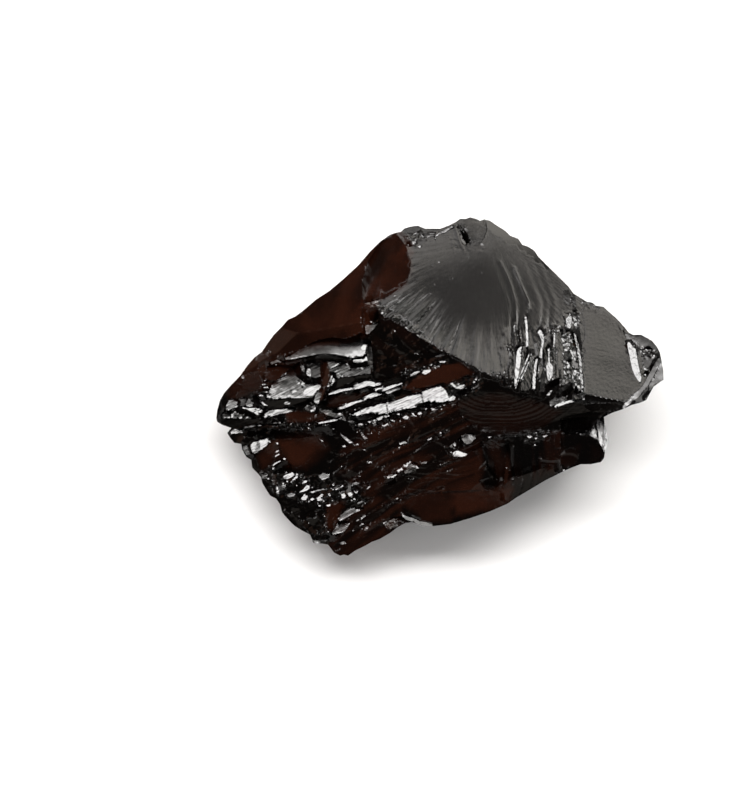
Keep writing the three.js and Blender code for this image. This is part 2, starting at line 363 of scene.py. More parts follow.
class Surface:
    """The top of the stone, built up break by break over a set of plan points."""

    def __init__(self, x, y):
        self.x, self.y = x, y
        self.z = big_breaks(x, y)
        self.brown = np.zeros(x.shape)
        self.satin = np.zeros(x.shape)
        self.grain = np.stack([x, y, np.zeros(x.shape)], 1)
        self.rows = []

    def near(self, polygon, margin):
        (x0, y0), (x1, y1) = polygon.min(0) - margin, polygon.max(0) + margin
        return np.nonzero((self.x > x0) & (self.x < x1) & (self.y > y0) & (self.y < y1))[0]

    def within(self, points, soft, waver=0.4):
        """The points near the outline, where they are and how far each belongs to it."""
        polygon = shape(*points)
        i = self.near(polygon, soft + waver + 0.1)
        x, y = self.x[i], self.y[i]
        d = depth_inside(polygon, x, y) + waver * noise(x * 1.3, y * 1.3, 31)
        return i, x, y, ease(-soft, soft, d)

    def blend(self, values, i, m, new):
        values[i] = values[i] * (1 - m) + new * m

    def heights(self, line):
        """The surface's height at each of the line's points."""
        i = self.near(line, 0.6)
        if len(i) == 0:
            return np.zeros(len(line))
        gap = (self.x[i][None] - line[:, :1]) ** 2 + (self.y[i][None] - line[:, 1:]) ** 2
        return self.z[i][gap.argmin(1)]

    def facet(self, points, look, lift=0.0, dish=0.0, bend=0.0, soft=0.0, waver=0.08, wave=0.02, satin=0.0,
              step=2.2):
        """A small flat or dished break of its own lean, with a crisp edge.

        It follows the ground along its length in treads, each about one step high.
        """
        polygon = shape(*points)
        seed = int(abs(polygon[0, 0] * 37 + polygon[0, 1] * 91)) % 997
        edge = chipped(polygon, waver, seed)
        if not soft:
            self.rows += [beside(edge, EDGE_WIDE / 2), beside(edge, -EDGE_WIDE / 2)]
        soft = soft or EDGE_WIDE / 2
        cx, cy = polygon.mean(0)
        n = leaning(*look)
        size = np.hypot(*(polygon - (cx, cy)).T).mean()
        up = np.array([math.cos(math.radians(look[1])), math.sin(math.radians(look[1]))])
        half = np.abs((polygon - (cx, cy)) @ up).max()

        def plate(x, y):
            z = -((x - cx) * n[0] + (y - cy) * n[1]) / n[2]
            if bend:
                s = (x - cx) * up[0] + (y - cy) * up[1]
                z = z - math.radians(bend) / half * s**2 / 2 / n[2] ** 2
            if dish:
                z = z + dish * ((x - cx) ** 2 + (y - cy) ** 2) / size**2
            if wave:
                z = z + wave * rough_noise(x * 0.9, y * 0.9, seed + 3, 3)
            return z

        gap = self.heights(edge) - plate(*edge.T)
        run = np.linalg.svd(polygon - (cx, cy), full_matrices=False)[2][0]
        s = (edge - (cx, cy)) @ run
        low, high = s.min(), s.max()
        slope = ((gap - gap.mean()) * (s - s.mean())).sum() / ((s - s.mean()) ** 2).sum()
        count = int(np.clip(round(abs(slope) * (high - low) / step), 1, MOST_TREADS))
        k = np.arange(1, count)
        treads = low + (high - low) * (k + 0.25 * (scatter(k, k, seed) - 0.5)) / count
        reach = np.arange(-12, 12, EDGE_SPACING)
        for tread in treads:
            line = (cx, cy) + np.outer(reach, np.array([-run[1], run[0]])) + run * tread
            line = line[depth_inside(edge, *line.T) > 0.1]
            if len(line) > 1:
                self.rows += [line + run * EDGE_WIDE / 2, line - run * EDGE_WIDE / 2]
        bounds = np.concatenate([[low], treads, [high]])
        middles = (bounds[1:] + bounds[:-1]) / 2
        stops = np.stack([treads - EDGE_WIDE / 2, treads + EDGE_WIDE / 2], 1).ravel()

        def level(x, y):
            z = plate(x, y) + gap.mean() + lift
            if count > 1:
                along = (x - cx) * run[0] + (y - cy) * run[1]
                z = z + slope * (np.interp(along, stops, np.repeat(middles, 2)[1:-1]) - s.mean())
            return z

        i = self.near(edge, STEEP_REACH + 0.1)
        x, y = self.x[i], self.y[i]
        d = depth_inside(edge, x, y)
        m = ease(-soft, soft, d)
        over = level(x, y)
        front = STEEP_REACH if look[0] < PROUD_BELOW else 0
        foot = np.where((d <= -soft) & (d > -front), over - STEEP_DROP + STEEP_RISE * d, -99)
        self.z[i] = np.maximum(self.z[i] * (1 - m) + over * m, foot)
        self.blend(self.satin, i, m, satin)

    def facets(self, pieces, look, lift, waver):
        """Small facets of one look."""
        for points in pieces:
            self.facet(points, look, lift, waver=waver)

    def shards(self, pieces, lift, waver, wave):
        """Small facets that each have a look of their own."""
        for points, look in pieces:
            self.facet(points, look, lift, waver=waver, wave=wave)

    def crumbs(self, spots, look, lift, waver):
        """Five-sided specks, each given as its place and its size."""
        for x, y, r in spots:
            points = [(x - r, y - 0.4 * r), (x, y - r), (x + r, y - 0.2 * r), (x + 0.3 * r, y + r),
                      (x - 0.8 * r, y + 0.6 * r)]
            self.facet(points, look, lift, waver=waver)

    def lips(self, spans, look, lift, waver):
        """Narrow bright lips with a groove under each, given as two ends and a height in the plan."""
        for x0, x1, y in spans:
            points = [(x0, y + 0.4), (x0 + 2.4, y - 1), (x1 - 1.4, y - 0.7), (x1, y + 0.8), (x0 + 3, y + 0.9)]
            self.facet(points, look, lift, waver=waver)
            self.crease([(x0 + 1, y + 1.8), (x1, y + 1.7)], 0.15, -0.12)

    def crumble(self, points, cell, lean, step, stretch=1.0, angle=0.0, seed=0, soft=0.5, waver=0.4):
        """A patch of small plates at odds with one another."""
        i, x, y, m = self.within(points, soft, waver)
        self.z[i] += m * flakes(x, y, cell, lean, step, stretch, angle, seed)

    def flow(self, points, angle, cell, step, lean, seed=0, soft=0.6):
        """Long flat plates that lie along the angle."""
        i, x, y, m = self.within(points, soft)
        self.z[i] += m * flakes(x, y, cell / 2, lean, step * 0.5, 4.0, angle, seed)

    def streaks(self, points, angle, fine, high, seed=0, soft=0.8):
        """Fine hackles that run along the angle."""
        i, x, y, m = self.within(points, soft)
        along, across = turned(x, y, angle)
        across = across + 0.35 * noise(along * 0.2, across * 0.2, seed + 5)
        n = noise(along * 0.12, across * fine, seed)
        n = n + 0.5 * noise(along * 0.12 * 2, across * fine * 2.1, seed + 1)
        self.z[i] += m * high * n

    def ripples(self, points, middle, long, period, high, seed=0, soft=0.5):
        """Waves round a middle, longer in x than in y."""
        i, x, y, m = self.within(points, soft, 0.2)
        cx, cy = at_px(*middle)
        e = np.hypot((x - cx) / long, y - cy) + 0.3 * rough_noise(x * 0.2, y * 0.2, seed, 2)
        phase = 2 * math.pi * e / period + 2.2 * noise(e * 0.7, x * 0.06, seed + 2)
        waves = 0.5 * np.sin(phase) + 0.25 * np.sin(2.15 * phase + 1.0)
        some = 0.35 + 0.65 * ease(-0.4, 0.5, noise(x * 0.14, e * 0.8, seed + 3))
        self.z[i] += m * high * (waves * some + 0.5 * noise(e * 3.1 / period, x * 0.1, seed + 1))

    def crease(self, points, wide, high):
        """A thin raised line, or a groove where high is negative."""
        line = shape(*points)
        back = max(1, round(math.dist(line[0], line[-1]) / EDGE_SPACING))
        walked = walk_round(line, EDGE_SPACING)[:-back]
        if len(walked) > 2:
            for offset in (0, wide * 0.7, -wide * 0.7, wide * 1.5, -wide * 1.5):
                self.rows.append(beside(walked, offset, closed=False))
        i = self.near(line, wide * 3)
        x, y = self.x[i], self.y[i]
        best = np.full(x.shape, 1e9)
        for (ax, ay), (bx, by) in zip(line, line[1:]):
            dx, dy = bx - ax, by - ay
            t = np.clip(((x - ax) * dx + (y - ay) * dy) / (dx * dx + dy * dy), 0, 1)
            best = np.minimum(best, np.hypot(x - ax - t * dx, y - ay - t * dy))
        self.z[i] += high * np.exp(-((best / wide) ** 2))

    def creases(self, lines, wide, high):
        for points in lines:
            self.crease(points, wide, high)

    def tint(self, points, amount, soft=0.8):
        """How brown the surface is, with a cloudy edge: the glass's own brown, and in places a painted warm
        reflection.
        """
        i, x, y, _ = self.within(points, soft, 0)
        d = depth_inside(shape(*points), x, y) + 0.5 * rough_noise(x * 0.7, y * 0.7, 55)
        self.blend(self.brown, i, ease(-soft, soft, d), amount)

    def veins(self, points, angle, fine, low, high, seed=0, soft=0.8):
        """Streaks of browner and blacker colour along the angle, partly the glass's own and partly painted
        warm reflection.
        """
        i, x, y, m = self.within(points, soft)
        along, across = turned(x, y, angle)
        across = across + 0.5 * noise(along * 0.15, across * 0.2, seed + 5)
        n = noise(along * 0.09, across * fine, seed) + 0.6 * noise(along * 0.2, across * fine * 2.3, seed + 1)
        self.blend(self.brown, i, m, low + (high - low) * ease(-0.6, 0.7, n))

    def frost(self, points, amount, soft=0.6):
        """How satin the glass is."""
        i, x, y, m = self.within(points, soft)
        self.blend(self.satin, i, m, amount)

    def brush(self, points, angle, depth, along=0.12):
        """The direction and depth of the finest lines in the finish."""
        i, x, y, m = self.within(points, 0.6)
        i, x, y = i[m > 0.5], x[m > 0.5], y[m > 0.5]
        lengthwise, across = turned(x, y, angle)
        self.grain[i] = np.stack([across, lengthwise * along, np.full(len(i), depth)], 1)

    def brush_fan(self, points, middle, inner, outer):
        """Fine lines that fan out from the middle and deepen on the way."""
        i, x, y, m = self.within(points, 0.6)
        i, x, y = i[m > 0.5], x[m > 0.5], y[m > 0.5]
        cx, cy = at_px(*middle)
        r, turn = np.hypot(x - cx, y - cy), np.arctan2(x - cx, cy - y)
        self.grain[i] = np.stack([turn * 20, r * 0.15, inner + (outer - inner) * ease(13, 25, r)], 1)


def planned(tool):
    """The tool for use in a table: it takes its outline and measures there, and the surface later."""

    def plan(outline_px, *measures, **options):
        return lambda top: tool(top, outline_px, *measures, **options)

    return plan


facet, facets, shards, crumbs, lips = map(
    planned, (Surface.facet, Surface.facets, Surface.shards, Surface.crumbs, Surface.lips))
crumble, flow, streaks, ripples = map(
    planned, (Surface.crumble, Surface.flow, Surface.streaks, Surface.ripples))
crease, creases, tint, veins = map(
    planned, (Surface.crease, Surface.creases, Surface.tint, Surface.veins))
frost, brush, brush_fan = map(planned, (Surface.frost, Surface.brush, Surface.brush_fan))


# ---------------------------------------------------------------- where the smaller breaks lie
# A table's rows are laid in order. After its outline, facet takes a look and how far it is lifted from the
# ground, crease a width and a height, tint how brown and how soft an edge, and frost how satin.

CROWN_FACE_PX = [
    (405, 233), (470, 217), (600, 305), (583, 402), (545, 400), (512, 390), (480, 378), (452, 359),
    (430, 341), (410, 322), (390, 311), (372, 302), (380, 280), (398, 262),
]
RIPPLE_FACE_PX = [
    (457, 401), (464, 396), (480, 391), (500, 392), (514, 395), (530, 397), (545, 404), (553, 408),
    (562, 405), (575, 402), (583, 404), (600, 404), (598, 411), (580, 413), (566, 416), (552, 423),
    (540, 428), (520, 432), (508, 433), (495, 433), (480, 431), (470, 426), (460, 414),
]
LEFT_SHELL_FACE_PX = [
    (388, 236), (398, 230), (410, 245), (411, 264), (406, 285), (378, 302), (366, 335), (300, 352),
    (255, 358), (280, 315), (350, 262),
]
RIGHT_FACE_PX = [
    (583, 302), (625, 325), (640, 350), (640, 385), (622, 404), (583, 403),
]

# satin faces, and the direction of the finest lines
FINISH_PX = [
    frost(CROWN_FACE_PX, 0.75),
    frost([(408, 268), (480, 252), (530, 276), (556, 325), (520, 352), (470, 346), (420, 312), (400, 292)],
        0.55, soft=5),
    frost(RIGHT_FACE_PX, 0.6),
    brush_fan(CROWN_FACE_PX, middle=BLOW_PX, inner=0.45, outer=2.8),
    brush(RIGHT_FACE_PX, angle=80, depth=0.8, along=0.8),
    brush([(222, 380), (330, 360), (480, 370), (470, 430), (400, 520), (300, 540), (220, 430)],
        angle=25, depth=0.8),
    brush([(470, 436), (605, 420), (605, 465), (500, 505)], angle=95, depth=0.8),
    brush([(455, 398), (600, 400), (600, 420), (540, 436), (470, 430)], angle=5, depth=0.5),
    brush([(300, 290), (365, 250), (405, 232), (410, 280), (372, 300), (366, 356), (250, 356)],
        angle=70, depth=0.25),
]

# the crown, its top edge and the crushed seam beside it
CROWN_PX = [
    # the chipped top edge
    facet([(399, 234), (403, 230), (410, 227), (417, 226.5), (421, 229), (418, 232), (414, 234), (410, 238),
        (405, 240)], (27, 95), 0.05, bend=3, satin=0.5),
    crumble([(404, 238), (414, 234), (424, 232), (422, 242), (412, 248), (404, 244)],
        cell=0.7, lean=24, step=0.2, seed=41, soft=0.2, waver=0.2),
    facet([(406, 242), (410, 241), (411, 247), (408, 247)], BLACK, -0.2),
    facet([(411.5, 242), (414, 240.5), (416, 242.5), (415, 245), (412.5, 245)], WHITE),
    facet([(417.5, 246.5), (421, 245.5), (420, 248.5), (418.5, 248.5)], WHITE),
    facet([(407.8, 246), (409.6, 245.5), (409.4, 247.6), (408, 247.6)], LIGHT),
    facet([(424, 234), (431, 233), (436, 232), (435, 236), (428, 238), (423, 238)], (19, 80), 0, satin=0.4),
    crumble([(420, 230), (450, 228), (448, 234), (430, 240), (420, 240)],
        cell=0.8, lean=5, step=0.04, seed=43, soft=0.3),
    facet([(434, 236.5), (439, 232.5), (446, 229.5), (452, 226), (454, 226.5), (448, 231), (441, 234),
        (435, 238)], LIGHT, 0.02),
    # the narrow groove and the smooth chip beside it
    facet([(470, 218.5), (480, 221.5), (486, 222), (487, 230), (484, 238), (480, 244), (474, 247),
        (470, 243), (468, 236), (464, 229), (464, 221)], (25.5, 74), -0.05, bend=3, satin=0.6),
    crease([(487, 224), (487, 230), (485, 237), (481, 243)], 0.2, 0.05),
    facet([(457, 226), (460, 224), (464, 231), (469, 237), (470, 244), (465, 246), (461, 241), (459, 234)],
        (31, 50), -0.25, satin=0.3),
    streaks([(457, 226), (462, 226), (471, 243), (465, 247)],
        angle=114, fine=3.2, high=0.12, seed=42, soft=0.1),
    facet([(460, 230), (462.4, 231), (466.6, 238), (468.4, 243.4), (466, 244.6), (463, 239)], BLACK, -0.25),
    crease([(460, 227), (463, 233), (466, 237)], 0.14, 0.12),
    crease([(455, 227), (457, 234), (459, 241), (461, 246)], 0.2, 0.07),
    crumble([(450, 236), (458, 238), (461, 247), (470, 248), (484, 246), (482, 250), (466, 252),
        (450, 250)], cell=0.6, lean=7, step=0.04, seed=44, soft=0.3),
    crumbs([
        (435.5, 238.5, 1.3), (448.5, 237.6, 0.7), (481.6, 244.6, 1.3), (438.8, 262.6, 0.9), (432, 266, 0.9),
        (412, 258.6, 0.6), (416.5, 279.5, 0.7), (481.3, 273.3, 0.8), (449.5, 280, 0.6), (452.3, 278.8, 0.7),
        (468, 257.6, 0.7), (394.5, 296, 1.1), (434, 285.5, 0.7), (430, 294, 0.6),
    ], BRIGHT, 0.02, waver=0.02),
    # the flutes low on the right
    frost([(506, 318), (545, 325), (562, 322), (562, 400), (500, 392), (500, 350)], 0.25),
    streaks([(505, 330), (560, 325), (562, 398), (520, 394), (500, 385), (500, 350)],
        angle=93, fine=2.1, high=0.13, seed=71, soft=0.5),
    crease([(513, 268), (518, 280), (523, 292), (527, 301), (529, 310)], 0.17, 0.10),
    crease([(500, 262), (508, 279), (512, 291), (515, 306), (516, 322)], 0.22, 0.05),
    facet([(513, 326), (515, 324.5), (514.5, 330), (515, 333.5), (513, 332)], BRIGHT),
    facet([(515, 348), (519, 344), (523, 342.5), (524, 344), (520, 346), (517, 350)], BLACK, -0.2),
    facet([(518, 348), (521.5, 346.5), (520.6, 353), (520, 362), (518.5, 373), (516, 383), (514, 390),
        (513.6, 384), (514, 371), (515, 359), (516, 352)], WHITE, 0.05),
    facet([(521.5, 347), (525.5, 345), (525.5, 352), (523.5, 360), (520.5, 367), (520.6, 358)],
        (25, 60), -0.05),
    facet([(523.5, 317), (525.5, 316), (527, 325), (527.8, 340), (527, 352), (525.4, 352), (525, 336),
        (524.4, 326)], WHITE, 0.05),
    facet([(528, 352), (529.5, 353), (527, 360), (523, 369), (519, 378), (514.5, 390), (514, 388),
        (518, 377), (522, 367), (526, 358)], BRIGHT, 0.08, waver=0.03),
    facet([(530.5, 352), (531.5, 353), (529, 362), (524, 373), (519.5, 382), (518.5, 381), (523, 371),
        (527.6, 361)], BRIGHT, 0.08, waver=0.03),
    facet([(520, 384), (524, 376), (529, 366), (531, 375), (530, 388), (527, 391), (520, 391)],
        (26, 75), 0.0, satin=0.3),
    facet([(528, 358), (532, 355), (534, 360), (532, 368), (530, 372), (528, 366)], (24, 55), -0.1),
    facet([(533.6, 360), (536.4, 358), (535.4, 368), (534.8, 380), (534, 390), (531, 389), (531.8, 378),
        (532.8, 368)], WHITE, 0.05),
    facet([(533, 345), (536, 342), (537.5, 350), (537, 357), (534, 356)], PALE, 0.02),
    facet([(536.6, 333), (539.6, 329.6), (542.6, 333), (543.4, 340), (541.6, 350), (540.6, 359), (538, 363),
        (539, 351), (540.6, 342), (539, 337)], WHITE, 0.05),
    facet([(537.5, 364), (538.8, 363), (538, 372), (537, 380), (536.4, 379)], LIGHT, 0.05, waver=0.03),
    facet([(539, 380), (542, 366), (544, 372), (543.5, 392), (538, 392)], (25, 100), 0, satin=0.3),
    facet([(546.6, 348), (548.6, 347), (548.8, 356), (549, 363), (552, 367), (551.6, 376), (547.5, 382),
        (545.6, 376), (545, 367), (547, 362)], WHITE, 0.05),
    facet([(552.6, 333), (554.4, 332), (554.4, 341), (553.4, 348.5), (552, 347.5), (552.4, 341)],
        WHITE, 0.05, waver=0.03),
    facet([(555.4, 351.5), (557, 351), (557, 353.5), (555.6, 354)], BRIGHT),
    crease([(544, 335), (548, 330), (553, 327), (559, 326)], 0.22, 0.13),
    crease([(546, 338), (550, 333), (556, 330), (561, 331)], 0.18, 0.09),
    crumble([(504, 346), (512, 343), (514, 352), (508, 356)],
        cell=0.5, lean=26, step=0.2, seed=72, soft=0.2, waver=0.2),
    facet([(508, 352), (509.6, 350), (509.6, 358), (508.4, 359)], LIGHT),
    facet([(501, 377), (503, 372), (504.5, 371.5), (503, 377), (501, 380)], WHITE),
    crease([(503, 378), (508, 370), (511, 362)], 0.14, 0.1),
    crumble([(490, 372), (512, 378), (511, 388), (494, 382)],
        cell=0.5, lean=30, step=0.25, seed=73, soft=0.2, waver=0.2),
    # the crushed seam between the crown and the right face
    facet([(563, 291), (568, 290), (571, 299), (569, 307), (564, 304)], (21, 66), 0.0, bend=3, satin=0.3),
    facet([(570, 296), (575, 296), (575, 307), (572, 308)], (19, 80), 0.0),
    crumble([(560, 312), (567, 310), (580, 314), (580, 330), (562, 332)],
        cell=0.5, lean=22, step=0.12, seed=45, soft=0.2, waver=0.2),
    facet([(571, 310), (576, 310), (575, 313.5), (572, 312)], BLACK, -0.2),
    facet([(565, 319), (568, 316), (571, 316), (571, 322), (570, 329), (566.5, 328), (565, 324)],
        WHITE, 0.05, wave=0.05),
    facet([(572, 315), (575, 317), (576.5, 321), (573, 322)], LIGHT),
    facet([(573, 324), (576, 322), (576, 329), (572.6, 330)], BRIGHT),
    facet([(559, 330), (562.5, 329), (562.5, 334), (560, 335)], BLACK, -0.3),
    facet([(564, 330), (572, 330), (574, 332.5), (570, 332), (565, 332)], BLACK, -0.2),
    shards([
        ([(560, 335), (566, 334), (568, 340), (562, 344)], GREY),
        ([(566, 334), (573, 333), (574, 341), (569, 343)], (21, 60)),
        ([(561, 344), (567, 343), (569, 350), (563, 353)], PALE),
        ([(568, 343), (574, 342), (575, 350), (570, 351)], DIM),
        ([(562, 353), (569, 351), (570, 359), (563, 361)], (24, 110)),
        ([(570, 351), (575, 350), (577, 359), (571, 360)], LIGHT),
        ([(562, 361), (568, 361), (568, 369), (562, 370)], GREY),
        ([(569, 360), (577, 360), (577, 369), (570, 370)], (27, 40)),
        ([(562, 370), (568, 370), (570, 378), (563, 379)], (21, 110)),
        ([(570, 370), (578, 370), (579, 380), (571, 380)], PALE),
        ([(563, 379), (570, 379), (571, 384), (564, 387)], (25, 60)),
        ([(571, 381), (579, 381), (580, 390), (573, 392)], GREY),
        ([(572, 392), (580, 391), (581, 399), (570, 400)], (24, 70)),
    ], 0.04, waver=0.12, wave=0.06),
    crumble([(559, 334), (573, 333), (578, 350), (580, 380), (578, 398), (570, 400), (560, 382),
        (561, 350)], cell=0.45, lean=12, step=0.05, stretch=1.5, angle=120, seed=47, soft=0.15, waver=0.2),
    facets([
        [(561, 337), (565, 340), (563, 343), (560, 340)], [(565, 344), (569, 343), (569, 347), (566, 347)],
        [(568, 349), (571, 350), (574, 355), (573, 357), (570, 354)],
        [(572, 358), (574, 357), (575, 362), (573, 361)], [(561, 353), (564, 352), (562, 356)],
        [(566, 365), (569, 364), (569, 368), (566, 369)], [(571, 366), (574, 366), (573, 370)],
        [(562, 370), (565, 373), (563, 376)], [(567, 374), (570, 376), (568, 379)],
        [(574, 382), (576, 384), (575, 388), (573, 386)], [(561, 380), (564, 379), (563, 384)],
        [(565, 337), (569, 336), (570, 339)],
    ], BRIGHT, 0.05, waver=0.04),
    facet([(565, 360), (569, 359), (571, 361), (567, 363)], BLACK, -0.3),
    facet([(572, 333), (574.5, 334), (578, 347), (580.6, 362), (581.6, 378), (583.4, 400), (581, 400),
        (579.4, 380), (577.6, 362), (575.6, 350)], (13.2, 88), 0.1, waver=0.03),
    facet([(556, 393), (562, 386), (568, 381.5), (571, 383), (571, 390), (568, 395), (562, 398)],
        (44, -70), -0.5),
    facet([(548, 382), (554, 379), (559, 376.5), (558, 384), (552, 388), (547, 386)], (46, -60), -0.4),
    facet([(573, 386), (576, 386), (577, 391), (574, 391)], BLACK, -0.3),
    facet([(545, 395), (549, 390.5), (551, 391), (548, 396)], PALE),
    facet([(548, 402), (555, 396), (563, 397), (568, 398), (562, 402), (553, 406), (549, 407)],
        (20, 70), 0.05),
    facet([(552.5, 406), (556, 403.5), (562, 402), (568, 400.5), (576, 400), (570, 403), (562, 405.4),
        (554, 408)], WHITE, 0.1, waver=0.05),
]

# the right-hand tip
WING_TIP_PX = [
    facet([(622, 331), (626, 334), (632, 335), (640, 335), (646, 337), (652, 341), (657, 347), (659, 352),
        (657, 357), (652, 352), (648, 347), (640, 348), (636, 348), (631, 343), (627, 341)],
        (18.5, 62), -0.05, bend=4, satin=0.4),
    facet([(626, 342), (628.4, 342.5), (631, 346), (634.4, 349.5), (635.6, 356), (637.2, 364), (638.8, 372),
        (640, 378), (639, 383), (635.4, 379), (632, 372.5), (629.8, 365), (628, 355), (626.4, 348)],
        WHITE, 0.1, waver=0.03),
    facet([(640, 358), (648, 355.5), (655, 354.5), (656, 359), (652, 364), (648, 370), (644, 371),
        (641, 365)], (17.5, 100), -0.1, satin=0.2),
    crumble([(636, 349), (648, 347), (656, 353), (654, 357), (642, 358), (638, 356)],
        cell=0.5, lean=28, step=0.15, seed=51, soft=0.15, waver=0.2),
    facet([(644, 347), (649, 346), (651, 350), (646, 350)], BLACK, -0.3),
    facet([(652.6, 355), (654, 354.6), (654, 357), (652.8, 357)], WHITE),
    facet([(642, 368), (644, 367), (646, 369.5), (648, 369.5), (646, 371.5), (643, 370.5)], LIGHT),
    facet([(643, 372), (647.5, 370.5), (646, 375.5), (642.5, 377)], BLACK, -0.2),
    facet([(660, 360), (663, 368), (664, 377), (662, 382), (657, 384), (652, 387), (649, 392), (646, 400),
        (640, 403), (632, 405), (638, 397), (645, 389), (650, 381), (655, 371)],
        (17.6, 60), 0.0, bend=-3, satin=0.3),
    facet([(640, 397), (644, 392), (648, 388), (646, 399), (641, 401)], (25, 30), 0.0),
    facet([(658.6, 357), (660.6, 360), (656, 369), (650.6, 380), (645, 388), (638, 396), (630, 403),
        (622, 409), (620.4, 407), (624, 402), (630, 396), (636, 391), (641, 386), (646, 377), (651, 368),
        (655, 361)], (14.8, 76), 0.1, bend=2, waver=0.03),
    crumble([(578, 300), (590, 302), (598, 306), (596, 310), (582, 307)],
        cell=0.6, lean=10, step=0.06, seed=53, soft=0.2),
    facet([(579, 302.6), (583, 302.6), (583, 304.6), (580, 304.4)], LIGHT),
    facet([(586, 303), (591, 302.6), (590, 305), (587, 305)], LIGHT),
    crumble([(617, 322), (628, 331), (626, 336), (618, 328)],
        cell=0.6, lean=10, step=0.06, seed=54, soft=0.2),
]

# the brown shell and the terrace below it
LEFT_SHELL_PX = [
    # the brown shell's right edge, and the hackles along it
    facet([(380, 243), (396, 233.5), (402, 241), (406.5, 248), (408.5, 256), (411, 262), (410, 272),
        (407, 282), (403, 286), (398, 290), (391, 295), (384, 299), (372, 302), (364, 304), (362, 285),
        (368, 262)], (31, 127), -0.8, dish=0.2, waver=0.04, step=20),
    streaks([(396, 250), (410, 258), (410, 283), (396, 292)],
        angle=86, fine=1.6, high=0.02, seed=75, soft=0.3),
    streaks([(300, 320), (360, 262), (395, 248), (380, 296), (350, 320), (310, 345)],
        angle=66, fine=0.9, high=0.02, seed=76, soft=1.0),
    # the rolled edge above the terrace
    facet([(284, 357), (286, 357.6), (292, 355), (300, 350), (310, 344), (320, 339.6), (332, 338),
        (346, 339), (355, 336), (361, 333), (364, 334.6), (367, 339), (367, 347), (366, 354), (366.6, 357),
        (360, 358.5), (352, 358), (345, 356.4), (338, 355), (333, 354.5), (325, 354), (316, 355),
        (308, 356.6), (300, 358), (291, 360), (286, 360)],
        (17.5, 103), -0.8, bend=8.5, waver=0.05, satin=0.25, step=3.2),
    facet([(360, 348), (365, 343), (366.4, 346), (365.5, 351), (362, 351)], WHITE, 0.03),
    facet([(316, 356), (325, 354.5), (335, 355.5), (345, 357), (355, 358.5), (352, 360.5), (340, 359.5),
        (325, 358.5), (315, 358.5)], (24, 95), -0.1),
    facet([(306, 362), (314, 360.5), (320, 365), (321, 376), (314, 378.5), (309, 373)],
        (20.5, 100), -0.1, bend=3),
    facet([(326, 361), (335, 360), (343, 361), (352, 362), (358, 363.5), (367, 362), (368, 366), (371, 370),
        (371, 373), (365, 374.8), (358, 375.4), (350, 376.6), (344, 377.4), (340, 377), (337, 373),
        (330, 371), (328, 366)], (17.8, 92), -0.7, bend=1.5, wave=0.03, satin=0.3),
    crease([(331, 370), (337, 367), (345, 361)], 0.16, -0.10),
    crease([(350, 369), (358, 367.5), (368, 364)], 0.14, -0.08),
    facet([(352, 361.4), (354, 359.6), (359, 359), (364, 358), (366, 355.6), (367.2, 358), (368, 361),
        (365, 362), (358, 363), (353, 362.6)], WHITE, 0.1, waver=0.04),
    facet([(367, 340), (371, 342), (372, 356), (373, 371), (368, 364), (367, 352)], (24, 60), -0.3),
    # the crack that runs down from the terrace, with the small fan beside it
    facet([(322, 360), (327, 361), (330, 370), (329, 381), (325, 391), (322, 401), (319, 401), (321, 388),
        (323, 374)], (31, 190), -0.1),
    facet([(326, 389), (328.4, 383), (331, 377), (332, 373), (334, 373), (331.6, 381), (328.4, 388)],
        LIGHT, 0.05, waver=0.03),
    facet([(329, 387), (331.6, 381.5), (333.4, 378), (335.6, 376.6), (336.6, 379), (333.4, 383.4),
        (331, 387)], WHITE, 0.08, waver=0.03),
    facet([(336, 373), (339, 372.5), (342, 376), (340, 378), (337, 379)], PALE, 0.03),
    facet([(338, 379), (345, 377.4), (358, 376), (372, 374.4), (373, 379), (360, 382), (345, 385),
        (336, 388)], (33, -100), -0.15),
]

